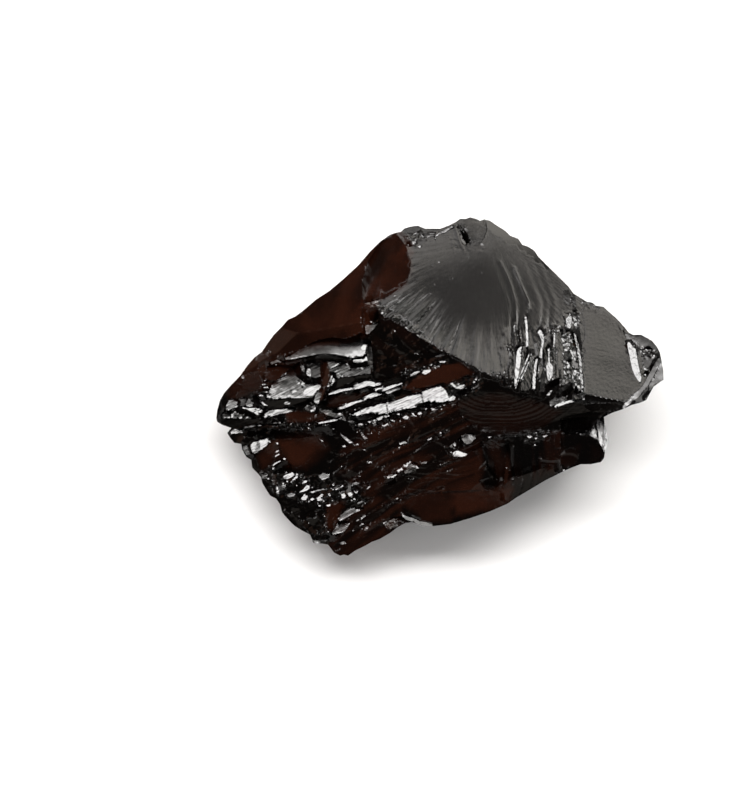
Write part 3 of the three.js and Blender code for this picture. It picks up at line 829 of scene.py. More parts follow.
# the bright cluster and the left tip
LEFT_CLUSTER_PX = [
    crumble([(222, 388), (262, 350), (272, 352), (268, 372), (262, 396), (235, 398)],
        cell=2.2, lean=8, step=0.12, stretch=1.4, angle=40, seed=3),
    facet([(241, 376), (244, 375), (245, 378), (242, 379)], PALE),
    facet([(270, 362), (273.4, 361.4), (277, 359.8), (280, 360.4), (286, 362), (284, 363.2), (278, 362.4),
        (274, 364), (271, 364.6)], PALE, 0.1, waver=0.04),
    crease([(285, 361.6), (292, 361), (300, 359.6)], 0.2, -0.2),
    facet([(268, 366), (280, 365), (292, 366), (286, 374), (276, 381), (266, 380), (264, 373)],
        (32, 122), -0.1, dish=0.1),
    facet([(266, 397), (268, 391), (272, 385), (279, 379), (287, 372), (293, 366), (300, 362), (302, 374),
        (304, 381), (312, 380.6), (320, 382), (323, 385.6), (320, 391), (312, 397.4), (300, 398),
        (285, 398.6), (272, 399.6)], (17.2, 88), -0.5, bend=7.5, wave=0.05, satin=0.3, step=3.4),
    streaks([(270, 395), (290, 368), (300, 366), (304, 396)],
        angle=62, fine=0.9, high=0.014, seed=4, soft=0.6),
    lips([
        (263, 270, 380.6), (261, 267, 384.6), (262, 270.4, 387.4), (262, 269.6, 392), (258, 266, 395.6),
    ], (16.2, 90), 0.1, waver=0.05),
    facet([(303, 391), (308, 387), (314, 384.6), (320, 384.8), (321, 387), (317, 391), (312, 395.4),
        (306, 396.6)], (11.6, 86), 0.06, bend=2, waver=0.08),
    facet([(289, 393), (293, 390.6), (298, 390), (297, 392), (292, 394.4)], WHITE, 0.05, waver=0.1),
    facet([(298, 381), (300, 381), (300.4, 384), (298.6, 383.6)], WHITE, 0.05),
    facet([(301, 384), (303, 380.6), (306, 380), (305, 384), (302, 387)], BRIGHT, 0.05),
    facet([(301, 366), (303, 364.6), (305, 369), (304.4, 373), (302, 371)], PALE, 0.05),
    facet([(307, 370), (309, 367.5), (311, 370), (312, 376), (309, 377.4), (306.6, 374)], LIGHT, 0.05),
    facet([(311, 379), (321, 378), (322, 383.4), (316, 382.4), (311, 382)], BLACK, -0.25),
    facet([(317, 392), (320.4, 388), (323, 388), (321, 397), (318, 405), (314, 402), (315, 397)],
        (19, 60), -0.05, bend=4),
    facet([(262, 400), (280, 399.6), (300, 398.4), (308, 398.6), (312, 401), (304, 405), (290, 406.6),
        (276, 408), (266, 408), (262, 405)], (34, -95), -0.3),
    facet([(284, 403), (287, 401.8), (290.6, 402), (290, 404.6), (285, 405)], LIGHT, 0.05),
    facet([(260, 401), (262, 400.4), (264.4, 403), (268, 405.6), (265, 406), (261, 403.6)],
        WHITE, 0.05, waver=0.03),
    facet([(251, 396), (256, 395), (259.6, 400), (260, 406), (255, 406), (252, 402)], (26, 60), 0.0),
    facet([(225, 410.6), (226, 405), (229, 400), (233, 398), (238, 399), (241, 402), (238, 406), (233, 409),
        (229, 411)], (15.4, 92), 0.05, bend=1.5),
    facet([(238, 399), (245, 397), (246, 403), (244, 406), (240, 406), (241, 402)], (19, 90), 0.0),
    facet([(245, 405), (247, 401), (249, 397.6), (251, 400), (253, 404), (254, 406), (249, 407)],
        PALE, 0.05),
    facet([(222, 414), (228, 412), (233, 410), (239, 409), (246, 410), (252, 413), (257, 416.4),
        (255, 418.4), (246, 419), (238, 418.6), (230, 418.4), (222, 418)], (16.2, 90), -0.3, wave=0.16),
    crease([(220, 413.6), (228, 412), (233, 409.2), (239, 408)], 0.16, -0.16),
    facets([
        [(231, 414), (233, 413), (233, 417.4), (231, 417)],
        [(235, 417), (238, 416.6), (238, 418.4), (236, 418.4)],
        [(242, 415), (243.4, 413), (246, 417), (246, 418.6), (242, 418.4)],
        [(252.6, 415.6), (254, 415.4), (254.4, 418), (253, 418)],
    ], WHITE, 0.06, waver=0.03),
    facet([(240, 408), (242, 406.4), (246, 407.8), (251, 408), (257, 407.4), (262, 408.4), (266, 411),
        (268.4, 412), (264, 413), (260, 415), (257, 415), (252, 412), (248, 410), (243, 408.6)],
        WHITE, 0.12, waver=0.03),
    facet([(254, 409.6), (256.6, 409.4), (257, 410.8), (254.6, 411)], GREY),
    facet([(257.6, 412), (260.6, 411.2), (260, 413), (258, 413.4)], GREY),
    facet([(262, 416.4), (268, 411), (276, 409.4), (284, 407.2), (292, 406.8), (297.4, 409), (296, 411),
        (288, 412.6), (280, 414.2), (272, 416.2), (265, 417.6)], (13.4, 92), -0.2, bend=1.4, waver=0.04),
    facet([(264, 418), (274, 416.4), (285, 414), (284, 423), (270, 425), (263, 422)], (40, -95), -0.3),
    facet([(304, 408), (308, 405), (313, 404), (316, 407), (315.4, 411), (311, 412), (306, 410)],
        (17.4, 80), 0.05, wave=0.08),
    facet([(310, 410), (313, 409), (315, 410), (315, 412), (311, 412)], BRIGHT),
    facet([(286, 414), (296, 411.8), (305, 411.6), (312, 414), (312, 420), (300, 420.6), (286, 419.6)],
        (27, -125), 0.05),
    facet([(318, 413), (325, 415), (327, 418.4), (320, 420.6), (317, 419)], (27, -50), 0.0),
    facet([(313.4, 420), (315, 415), (317, 413), (316.4, 418), (314.6, 420.6)], (19, 80), 0.05, waver=0.03),
    facet([(318, 407), (321, 410), (330, 409.8), (338, 410.6), (341, 412.4), (347, 414), (343, 417),
        (336, 418.2), (329, 416), (325, 414), (321, 412)], (18, 92), 0.0, wave=0.03),
    facet([(331, 412), (337, 410.6), (340.6, 412.8), (338, 413.6), (333, 412.8)], WHITE, 0.05, waver=0.03),
    # the thin ledges under the tip
    flow([(222, 420), (330, 418), (335, 440), (280, 440), (235, 446)],
        angle=4, cell=2.0, step=0.4, lean=8, seed=22),
    facet([(218, 419.6), (236, 419.4), (256, 419.4), (262, 420), (256, 423), (244, 427), (232, 427),
        (222, 424)], (30, -120), 0.05, dish=0.1),
    facet([(240, 429), (248, 426), (256, 424.4), (263, 423.6), (264.4, 425.6), (256, 426.2), (248, 428)],
        PALE, 0.04, waver=0.03),
    facets([
        [(271, 424), (276, 422), (282, 421.4), (280, 423.8)],
        [(274, 426.4), (280, 424.8), (284, 424.4), (283, 426.4)],
        [(282, 422.4), (285.4, 425), (283, 425.4)], [(289, 424), (293, 423.4), (295.4, 425), (291, 425.2)],
        [(290.4, 421), (291.8, 421), (291.8, 422.6), (290.4, 422.6)],
        [(298, 425.4), (300, 425.4), (304, 427.6), (303.4, 429), (300, 428.4)],
    ], BRIGHT, 0.08, waver=0.03),
    crumble([(268, 420), (288, 419), (310, 424), (308, 430), (290, 428), (266, 430)],
        cell=0.5, lean=26, step=0.15, stretch=1.8, angle=8, seed=23, soft=0.2, waver=0.2),
    facet([(248, 430), (270, 428), (290, 428), (310, 430), (322, 426), (331, 424), (333, 434), (318, 435),
        (300, 438), (280, 439), (262, 436), (246, 437)], (47, -118), -0.35, dish=0.2, wave=0.1),
    crumble([(250, 430), (290, 428), (331, 425), (330, 433), (290, 438), (250, 436)],
        cell=0.8, lean=16, step=0.1, stretch=2.4, angle=6, seed=16, soft=0.3),
    # the lobes on the lower left edge
    facet([(229, 433.4), (232, 430), (238, 429), (244, 430), (242, 433), (236, 433.8), (230, 434.4)],
        (14.6, 95), 0.05, bend=2),
    facet([(228, 435), (236, 434.4), (242, 434), (244, 438), (240, 443), (234, 443), (230, 439)],
        (25, -150), 0.0, dish=0.1),
    crease([(245, 438), (250, 436), (255, 435), (258, 437.6)], 0.14, 0.12),
    facet([(242, 446), (245, 444.4), (249, 445), (250.4, 450), (250.4, 455), (246, 455), (243, 451)],
        (18, 110), 0.0),
    facet([(250, 445), (253, 442), (258, 439.8), (262, 437.4), (266, 436.8), (270, 439.4), (271.6, 441.6),
        (268, 444), (265, 447), (261, 450), (256, 453), (253, 454.6), (251, 449)],
        (11.2, 98), -0.3, bend=3, satin=0.2, waver=0.04, step=20),
    facet([(255, 445), (259, 441.6), (261, 444), (259, 449), (256, 451), (254, 449)], (16, 110), 0.02),
    facet([(254, 458), (259, 454), (264, 450), (270, 446), (275, 443), (278, 447), (279, 452), (276, 458),
        (272, 464), (268, 468), (262, 470), (257, 466)], (27, -125), 0.1, dish=0.15),
    facets([
        [(273.6, 452), (279, 449.6), (279.4, 451), (275, 453.4)],
        [(274, 456), (280, 453), (280, 454.6), (275, 457.4)],
        [(272, 465), (276, 462), (280, 460), (281, 461.4), (276, 464), (272, 467.2)],
        [(267.6, 466), (269, 465.4), (269.2, 467.4), (267.8, 467.6)],
        [(272, 468), (275, 467.4), (275.6, 470), (273.6, 474), (272.4, 471)],
        [(275, 473), (280, 472), (282.4, 472.8), (276, 474.4)],
        [(275.6, 442.6), (278, 442.4), (278, 444.6), (276, 444.6)],
        [(283, 458), (285, 458), (285, 460), (283.4, 459.6)],
    ], BRIGHT, 0.08, waver=0.03),
    facet([(251, 460), (256, 459), (258, 466), (262, 471), (257, 473), (252, 467)], (38, -140), 0.0),
    facet([(279, 444), (284, 441), (292, 440), (300, 439), (308, 437), (316, 436), (320, 440), (324, 444),
        (326, 448), (320, 451), (314, 455), (310, 458), (306, 463), (300, 466), (296, 468), (290, 464),
        (286, 459), (282, 452)], (25, -122), 0.1, dish=0.25, waver=0.06),
    crease([(320, 440.6), (324, 443), (327, 445)], 0.15, 0.1),
    facet([(272, 472), (277, 467), (282, 461), (286, 461), (291, 466), (292, 470), (285, 473.4),
        (276, 474)], BLACK, -0.4),
]

# the dark notch and its front lip
NOTCH_PX = [
    crumble([(372, 310), (385, 306), (410, 325), (445, 352), (440, 360), (372, 372)],
        cell=1.7, lean=3, step=0.05, stretch=2.4, angle=40, seed=81),
    facet([(371, 302), (378, 300), (381, 303), (380, 306), (374, 308)], (19, 70), 0.05, wave=0.08),
    facet([(370, 308), (377, 306), (378.6, 314), (378, 320), (371, 323), (369, 316)], BLACK, -0.6),
    facet([(365, 326), (371, 325), (376, 322), (379, 321.6), (375, 328), (369, 334), (366, 335)],
        (17, 80), 0.1),
    crease([(393, 330), (398, 337), (405, 344), (413, 351)], 0.12, 0.05),
    crease([(404, 344), (409, 342), (414, 341)], 0.12, 0.05),
    crease([(408, 345.4), (418, 345)], 0.12, 0.04),
    crease([(413, 351), (404, 356), (396, 361), (390, 363)], 0.12, 0.05),
    facet([(384, 360), (392, 357), (398, 358), (396, 366), (388, 367)], (24, -60), 0.0),
    facet([(418, 355), (424, 353.4), (434, 353), (444, 352.4), (448, 354), (440, 357), (428, 358.6),
        (420, 358)], (21, -80), 0.0, dish=0.1),
    crumble([(400, 374), (404, 370), (420, 366), (440, 360), (450, 358), (450, 363), (434, 370), (418, 377),
        (404, 380)], cell=0.5, lean=26, step=0.16, stretch=1.8, angle=22, seed=83, soft=0.2, waver=0.2),
    facets([
        [(409, 375.6), (414, 372), (420, 370), (422, 371.6), (416, 374.4), (411, 376.6)],
        [(421, 373.4), (423, 370.6), (427, 369.6), (431, 368.8), (430.4, 371.6), (425, 375)],
        [(433, 367.6), (436, 366), (440, 365), (439, 367.4), (435, 369.4)],
        [(438, 361.6), (442, 361), (446, 361), (444, 363), (440, 363)],
        [(400.6, 372.6), (402.4, 372.4), (402, 374.4)], [(404, 370.4), (406, 369.4), (406, 372)],
    ], BRIGHT, 0.06, waver=0.05),
    facet([(404, 390), (407, 384), (413, 381), (422, 378), (430, 373), (437, 368), (445, 365), (455, 363.4),
        (462, 365), (468, 369), (474, 374), (468, 377), (460, 378), (450, 381), (440, 384), (428, 387),
        (415, 389), (408, 392)], (23, -118), 0.1, dish=-0.1, waver=0.05),
    crease([(404, 392.6), (420, 390.6), (436, 387), (447, 384.6), (460, 379.6), (475, 377.4)], 0.25, -0.3),
]

# the bright flutes below the notch
FLUTES_PX = [
    facet([(330, 395), (340, 392), (352, 389), (366, 384), (384, 380), (402, 376), (404, 381), (400, 392),
        (380, 402), (350, 412), (326, 408), (322, 402)], (31, -126), -0.2),
    facet([(327, 396.4), (329, 393.4), (334, 391), (341, 389), (350, 386.4), (360, 383.4), (366, 381),
        (370, 380.8), (376, 382.6), (384, 381), (380, 385), (374, 387), (368, 386), (360, 388.6),
        (352, 390), (344, 391.6), (336, 393.6), (330, 394.8)], (11.2, 90), 0.3, waver=0.04, step=2.5),
    facet([(372, 388.4), (385, 387.4), (395, 383.6), (402, 380.6), (402, 384), (392, 388), (380, 393),
        (374, 391)], WHITE, 0.25, waver=0.05),
    facet([(385, 392), (395, 388), (403, 384.6), (401, 389), (392, 393), (386, 394.6)],
        PALE, 0.0, waver=0.04),
    facet([(345, 392), (355, 390), (363, 388), (370, 388), (371, 390), (366, 392), (355, 394), (346, 394)],
        (24.5, 60), -0.05),
    facet([(334, 409.4), (340, 407), (348, 403.6), (356, 400.4), (364, 397), (370, 394), (376, 391.4),
        (385, 393), (376, 397), (368, 399.4), (360, 402), (352, 405.6), (344, 408.6), (338, 409.8)],
        WHITE, 0.45, waver=0.04, step=2.5),
    facet([(344, 410), (352, 407), (360, 404), (370, 399.6), (385, 395.4), (402, 390), (402, 394),
        (388, 400), (374, 404.4), (366, 407.4), (356, 411), (348, 413.4)], (37, -95), -0.25),
    crumble([(366, 400), (400, 391), (400, 394), (372, 404)],
        cell=0.6, lean=16, step=0.15, seed=90, soft=0.1, waver=0.1),
    facet([(341, 419), (344, 415.4), (352, 413.2), (356, 417), (355, 421), (352, 424), (346, 421)],
        (17, 96), 0.08, wave=0.05),
    facet([(350, 415), (358, 411.4), (366, 408), (380, 404), (400, 399), (420, 392), (436, 387), (441, 386),
        (446, 391), (452, 395), (456, 396.4), (454, 400), (448, 402), (440, 402.4), (432, 402),
        (428, 404.6), (420, 407), (405, 409), (395, 411.6), (386, 414), (375, 414), (366, 413.4),
        (357, 416)], (10.4, 94), 0.65, bend=1.4, waver=0.05, step=2.9),
    streaks([(366, 405), (400, 397), (440, 387), (452, 397), (430, 402), (395, 411), (366, 413)],
        angle=16, fine=1.6, high=0.012, seed=94, soft=0.2),
    facet([(414, 405), (420, 402.6), (429, 401), (430, 403), (422, 405.4), (416, 406.4)], (30, -80), -0.1),
    facet([(429, 404), (434, 403), (441, 403.4), (438, 407), (432, 407)], (42, -80), -0.2),
    facet([(446, 392), (450, 393), (452, 396), (448, 397)], (23, 60), 0.0),
    facet([(317, 423), (322, 421.4), (329, 420.6), (336, 418.6), (342, 416), (342, 418.6), (335, 421),
        (328, 422.6), (320, 423.8)], WHITE, 0.08, waver=0.03),
    facet([(356, 417.4), (362, 415), (370, 414), (376, 414.4), (374, 417), (366, 419.4), (358, 420.4)],
        (22.5, 80), -0.05),
    facet([(352.6, 424), (358, 424), (364, 423), (370, 420.4), (378, 417), (386, 414.6), (394, 412),
        (390, 415.6), (382, 419.4), (372, 423), (366, 425), (360, 427), (355, 426.4)],
        WHITE, 0.3, waver=0.04),
    crumble([(356, 427), (380, 421), (392, 415), (420, 408), (432, 404), (440, 404), (458, 400), (458, 404),
        (436, 412), (410, 421), (386, 428), (370, 434), (352, 432)],
        cell=0.55, lean=34, step=0.22, stretch=1.4, angle=-55, seed=91, soft=0.2, waver=0.25),
    facets([
        [(402, 417), (406, 415), (409, 417), (407, 419.6), (403, 418.6)],
        [(417, 414), (419, 411), (422, 410), (423, 413), (419, 415)],
        [(411, 413), (413, 413), (415.6, 416.4), (413, 416)],
        [(430, 407.6), (434, 408.4), (438, 409.4), (434, 410.6), (431, 410)],
        [(381, 424), (384, 425), (387, 423), (389.4, 425), (385, 427.2), (382, 426)],
        [(390, 420), (394, 419), (393, 422)], [(399, 420), (402, 421), (399, 423)],
        [(424, 408), (427, 408), (426, 411)], [(396, 414), (399, 413), (400, 416)],
    ], BRIGHT, 0.08, waver=0.05),
    crease([(440, 408), (446, 405), (455, 401.6), (466, 400)], 0.14, 0.12),
    crumble([(446, 383), (458, 381), (478, 378), (484, 382), (472, 393), (456, 397), (449, 390)],
        cell=0.6, lean=28, step=0.2, stretch=1.4, angle=20, seed=93, soft=0.2, waver=0.2),
    facet([(448.6, 384), (452, 382.6), (456, 386.4), (459, 385), (463, 384), (466, 387), (462, 389.4),
        (455, 388.4)], BRIGHT, 0.1, waver=0.05),
    facet([(452, 389), (462, 390), (470, 387), (471, 391), (462, 396), (454, 396)], BLACK, -0.3),
    crease([(462, 396), (470, 391), (480, 385)], 0.15, 0.1),
    crease([(460, 391), (468, 386), (478, 381)], 0.14, 0.1),
]

# the lower faces
LOWER_PX = [
    # dark flow bands that rise to the right
    flow([(330, 440), (400, 424), (462, 404), (480, 430), (470, 460), (400, 500), (372, 492), (335, 470)],
        angle=26, cell=2.8, step=0.08, lean=2.8, seed=12),
    streaks([(345, 440), (462, 404), (470, 425), (400, 455), (350, 470)],
        angle=25, fine=1.35, high=0.04, seed=13, soft=0.6),
    streaks([(335, 450), (470, 425), (470, 460), (400, 500), (340, 480)],
        angle=29, fine=1.7, high=0.03, seed=14, soft=0.8),
    creases([
        [(352, 450), (365, 445), (378, 440)], [(360, 449.4), (375, 444), (390, 438.6)],
        [(411, 441), (420, 435), (432, 430), (441, 427)], [(428, 437), (440, 431), (451, 426)],
        [(372, 459), (385, 453), (398, 447)],
    ], 0.13, 0.07),
    crumble([(330, 448), (350, 445), (372, 452), (400, 458), (398, 480), (370, 486), (340, 482),
        (326, 470)], cell=1.1, lean=5, step=0.05, stretch=3.0, angle=27, seed=38, soft=0.5),
    facets([
        [(340, 434), (345, 436.6), (350, 440), (354, 443), (349, 443), (344, 439)],
        [(353, 444.6), (358, 443.4), (359, 445), (354, 446)],
        [(362, 432), (365, 436), (368, 438.6), (364, 439), (361, 435)],
        [(342, 446), (345, 445), (346, 447), (343, 447.4)],
    ], (14.6, 95), 0.08, waver=0.05),
    facet([(399, 443), (404, 441), (407, 442), (409.4, 442.4), (404, 444), (400, 444.6)],
        LIGHT, 0.05, waver=0.05),
    facet([(426, 439.6), (429, 437.4), (432.4, 437), (431, 439), (428, 440.6)], WHITE, 0.05, waver=0.05),
    facet([(433, 437), (438, 435), (443, 433.4), (441, 436), (436, 438)], PALE, 0.05, waver=0.05),
    facet([(444.4, 433), (447, 431), (448.4, 432), (446, 434)], WHITE, 0.05, waver=0.03),
    crumble([(433, 433), (448, 428), (450, 436), (440, 442)],
        cell=0.6, lean=24, step=0.15, stretch=1.5, angle=25, seed=18, soft=0.2),
    facet([(395, 471), (399, 469), (403, 465), (407, 462), (411.4, 459.4), (411, 461.6), (408, 465),
        (405, 468), (402, 471), (399, 472.4)], (12, 95), 0.08, waver=0.04),
    streaks([(394, 472), (400, 467), (407, 461), (413, 458), (412, 463), (403, 471), (397, 474)],
        angle=66, fine=3.0, high=0.10, seed=19, soft=0.1),
    facet([(403, 472), (406, 468.6), (409, 465), (413, 461.6), (418, 463), (420, 467), (414, 471),
        (406, 474)], (23, 60), 0.0, dish=0.1),
    facet([(386, 477), (390, 474), (395, 473), (397, 475), (393, 478), (388, 479)],
        BRIGHT, 0.05, wave=0.08),
    facet([(384, 479), (394, 478), (397, 482), (390, 485), (384, 484)], BLACK, -0.3),
    facet([(367, 462.4), (370, 461), (372, 461.6), (369, 463.6)], LIGHT, 0.05, waver=0.03),
    facet([(420, 463), (424, 461.4), (428, 461), (426, 463.4), (421, 464)], LIGHT, 0.05, waver=0.03),
    facet([(448, 447), (452, 443), (457, 439), (462, 435), (468, 433), (474, 434), (475, 439), (470, 443),
        (462, 446), (460, 449), (454, 449)], (24, 40), 0.05, dish=0.1, wave=0.03),
    facet([(461, 450), (466, 447), (475, 442.6), (482, 440), (481, 446), (475, 450), (468, 452),
        (463, 452)], BLACK, -0.4),
    facet([(453, 444), (456, 443), (456, 445), (454, 446)], LIGHT),
    facet([(451, 453), (454, 451), (458, 450.4), (462, 452), (467.4, 453.6), (467, 454.6), (462, 456.6),
        (456, 457), (452, 456.6), (451, 455)], WHITE, 0.15, bend=1, waver=0.03),
    crumble([(446, 446), (450, 446), (452, 451), (450, 457), (446, 455)],
        cell=0.5, lean=26, step=0.12, seed=20, soft=0.15),
    # the waved face below
    ripples([(405, 470), (440, 458), (470, 456), (478, 480), (455, 492), (405, 496)],
        middle=(445, 440), long=2.2, period=0.9, high=0.05, seed=24),
    streaks([(400, 495), (412, 478), (448, 474), (448, 490)],
        angle=12, fine=1.2, high=0.05, seed=25, soft=0.5),
    streaks([(474, 452), (496, 448), (498, 466), (476, 474)],
        angle=52, fine=1.5, high=0.07, seed=26, soft=0.3),
    crease([(478, 468), (484, 462), (488, 458)], 0.16, 0.12),
    crease([(484, 468), (489, 463), (492, 459)], 0.16, 0.14),
    crease([(398, 497), (415, 495), (430, 493), (442, 489)], 0.3, -0.3),
    facet([(400, 500), (412, 497), (438, 492), (470, 489.6), (490, 490), (504, 492), (511, 501), (506, 507),
        (470, 520), (434, 529), (418, 519), (406, 513)], (28, -120), 0.1, dish=0.3, waver=0.06),
    facet([(402, 512), (404, 515), (408, 516.4), (414, 518), (420, 521), (428, 522.4), (432, 524),
        (435, 528), (426, 528), (418, 525), (412, 521.6), (406, 519.6), (402, 516)],
        (15.6, 92), 0.1, waver=0.03),
    facet([(383, 523), (388, 518), (394, 516.6), (402, 516.4), (404, 522), (398, 527), (388, 530)],
        (24, 60), 0.0),
    streaks([(382, 524), (388, 517), (404, 515), (404, 523), (388, 532)],
        angle=40, fine=2.2, high=0.1, seed=30, soft=0.2),
    streaks([(490, 490), (510, 488), (512, 502), (494, 508)],
        angle=60, fine=1.8, high=0.06, seed=31, soft=0.3),
    # the ripple-marked face under the ridge
    facet(RIPPLE_FACE_PX, (30, -100), -0.05, dish=0.3, satin=0.3),
    ripples(RIPPLE_FACE_PX, middle=(497, 371), long=1.47, period=0.62, high=0.05, seed=83, soft=0.3),
    facet([(515, 400), (519, 397), (525, 396), (526, 397), (522, 400), (517, 402)], BLACK, -0.15),
    facet([(530, 404), (534, 401.4), (541, 400.6), (538, 403.4), (532, 405)], BLACK, -0.15),
    facet([(583, 404.6), (600, 403.6), (620, 402), (621, 407), (610, 412), (596, 412), (584, 409)],
        (31, -60), 0.0, bend=3),
    # the block on the lower right
    facet([(482, 447), (488, 440), (500, 437), (520, 436), (540, 433), (556, 432), (560, 440), (560, 470),
        (545, 476), (528, 472), (510, 478), (500, 484), (488, 470)], (43, -93), 0.0, waver=0.08),
    crumble([(481, 438), (490, 436), (506, 434), (504, 446), (484, 450)],
        cell=0.6, lean=26, step=0.15, seed=37, soft=0.25),
    streaks([(495, 440), (556, 434), (560, 470), (520, 476), (500, 486), (490, 470)],
        angle=95, fine=0.8, high=0.055, seed=15, soft=0.4),
    streaks([(495, 440), (560, 436), (560, 470), (500, 485)],
        angle=97, fine=1.6, high=0.04, seed=28, soft=0.4),
    facet([(503.6, 443), (508, 442), (509, 455), (508.6, 470), (507, 485), (502.6, 485), (504.6, 468),
        (504.6, 455)], (26, -40), 0.12, dish=0.1),
    facet([(505, 467.4), (507, 466.6), (507.4, 469), (505.4, 469.4)], WHITE),
    facet([(500.4, 485), (502, 484.6), (502, 486.4), (500.6, 486.4)], BRIGHT),
    crease([(512, 446), (511.6, 462), (510, 478)], 0.18, 0.16),
    crumble([(522, 434), (532, 432), (548, 431), (549, 438), (534, 442), (524, 441)],
        cell=0.5, lean=28, step=0.15, stretch=1.3, angle=15, seed=27, soft=0.15),
    facets([
        [(526, 436), (530, 434.6), (532, 437), (528, 438.4)], [(533, 438), (536, 437), (536, 440)],
        [(541, 436), (546, 434.6), (548, 435), (543, 437.4)], [(532, 445), (535, 443.6), (536, 446)],
        [(538, 458), (540, 457.6), (540, 459.8), (538.4, 459.6)],
    ], BRIGHT, 0.05, waver=0.04),
    crease([(540, 459), (550, 460.4), (557, 459.6)], 0.16, 0.14),
    crease([(558, 461), (559, 466), (560, 473)], 0.16, 0.13),
    facet([(553, 433), (559, 431), (560, 447), (554, 449)], (28, -30), 0.05, dish=0.1),
    facet([(478, 480), (488, 477), (497, 479), (500, 484), (494, 489), (484, 489)], BLACK, -0.4, dish=0.2),
    facet([(500, 488), (510, 480), (528, 473), (541, 468), (552, 466), (556, 476), (540, 484), (520, 496),
        (508, 505), (500, 500)], (32, -84), 0.05, dish=0.1),
    streaks([(500, 488), (512, 480), (540, 468), (554, 468), (556, 476), (520, 496), (508, 505),
        (500, 500)], angle=72, fine=1.8, high=0.08, seed=29, soft=0.3),
    facet([(561, 434), (572, 433), (580, 434.6), (586, 435), (592, 438), (597, 440), (600, 447), (603, 456),
        (603, 462), (592, 465), (580, 465), (572, 468), (562, 471), (560, 455)],
        (40, -90), 0.5, waver=0.05),
    streaks([(562, 434), (586, 436), (586, 450), (562, 450)],
        angle=97, fine=1.4, high=0.05, seed=32, soft=0.3),
    facet([(559, 455), (563, 450), (570, 447), (576, 450), (578, 457), (574, 463), (566, 468), (560, 464)],
        (26, -90), 0.0, dish=0.5),
    # the gap under the wing, and the pale break beside it
    facet([(559, 420), (570, 418), (580, 417), (590, 417), (598, 418), (597, 422), (590, 427), (583, 431),
        (575, 433), (566, 434), (560, 430)], (40, -95), -1.6),
    facet([(577, 433), (583, 431.6), (590, 428), (596, 422), (600, 417), (606, 412), (612, 440), (606, 458),
        (603, 452), (600, 446), (597, 440), (590, 436), (584, 434)],
        (12.9, 86), -1.2, bend=1.4, waver=0.02, step=20),
    crease([(594, 425), (596, 431), (597, 439)], 0.12, -0.08),
    crease([(601, 418), (602.6, 430), (602, 446)], 0.12, -0.05),
]

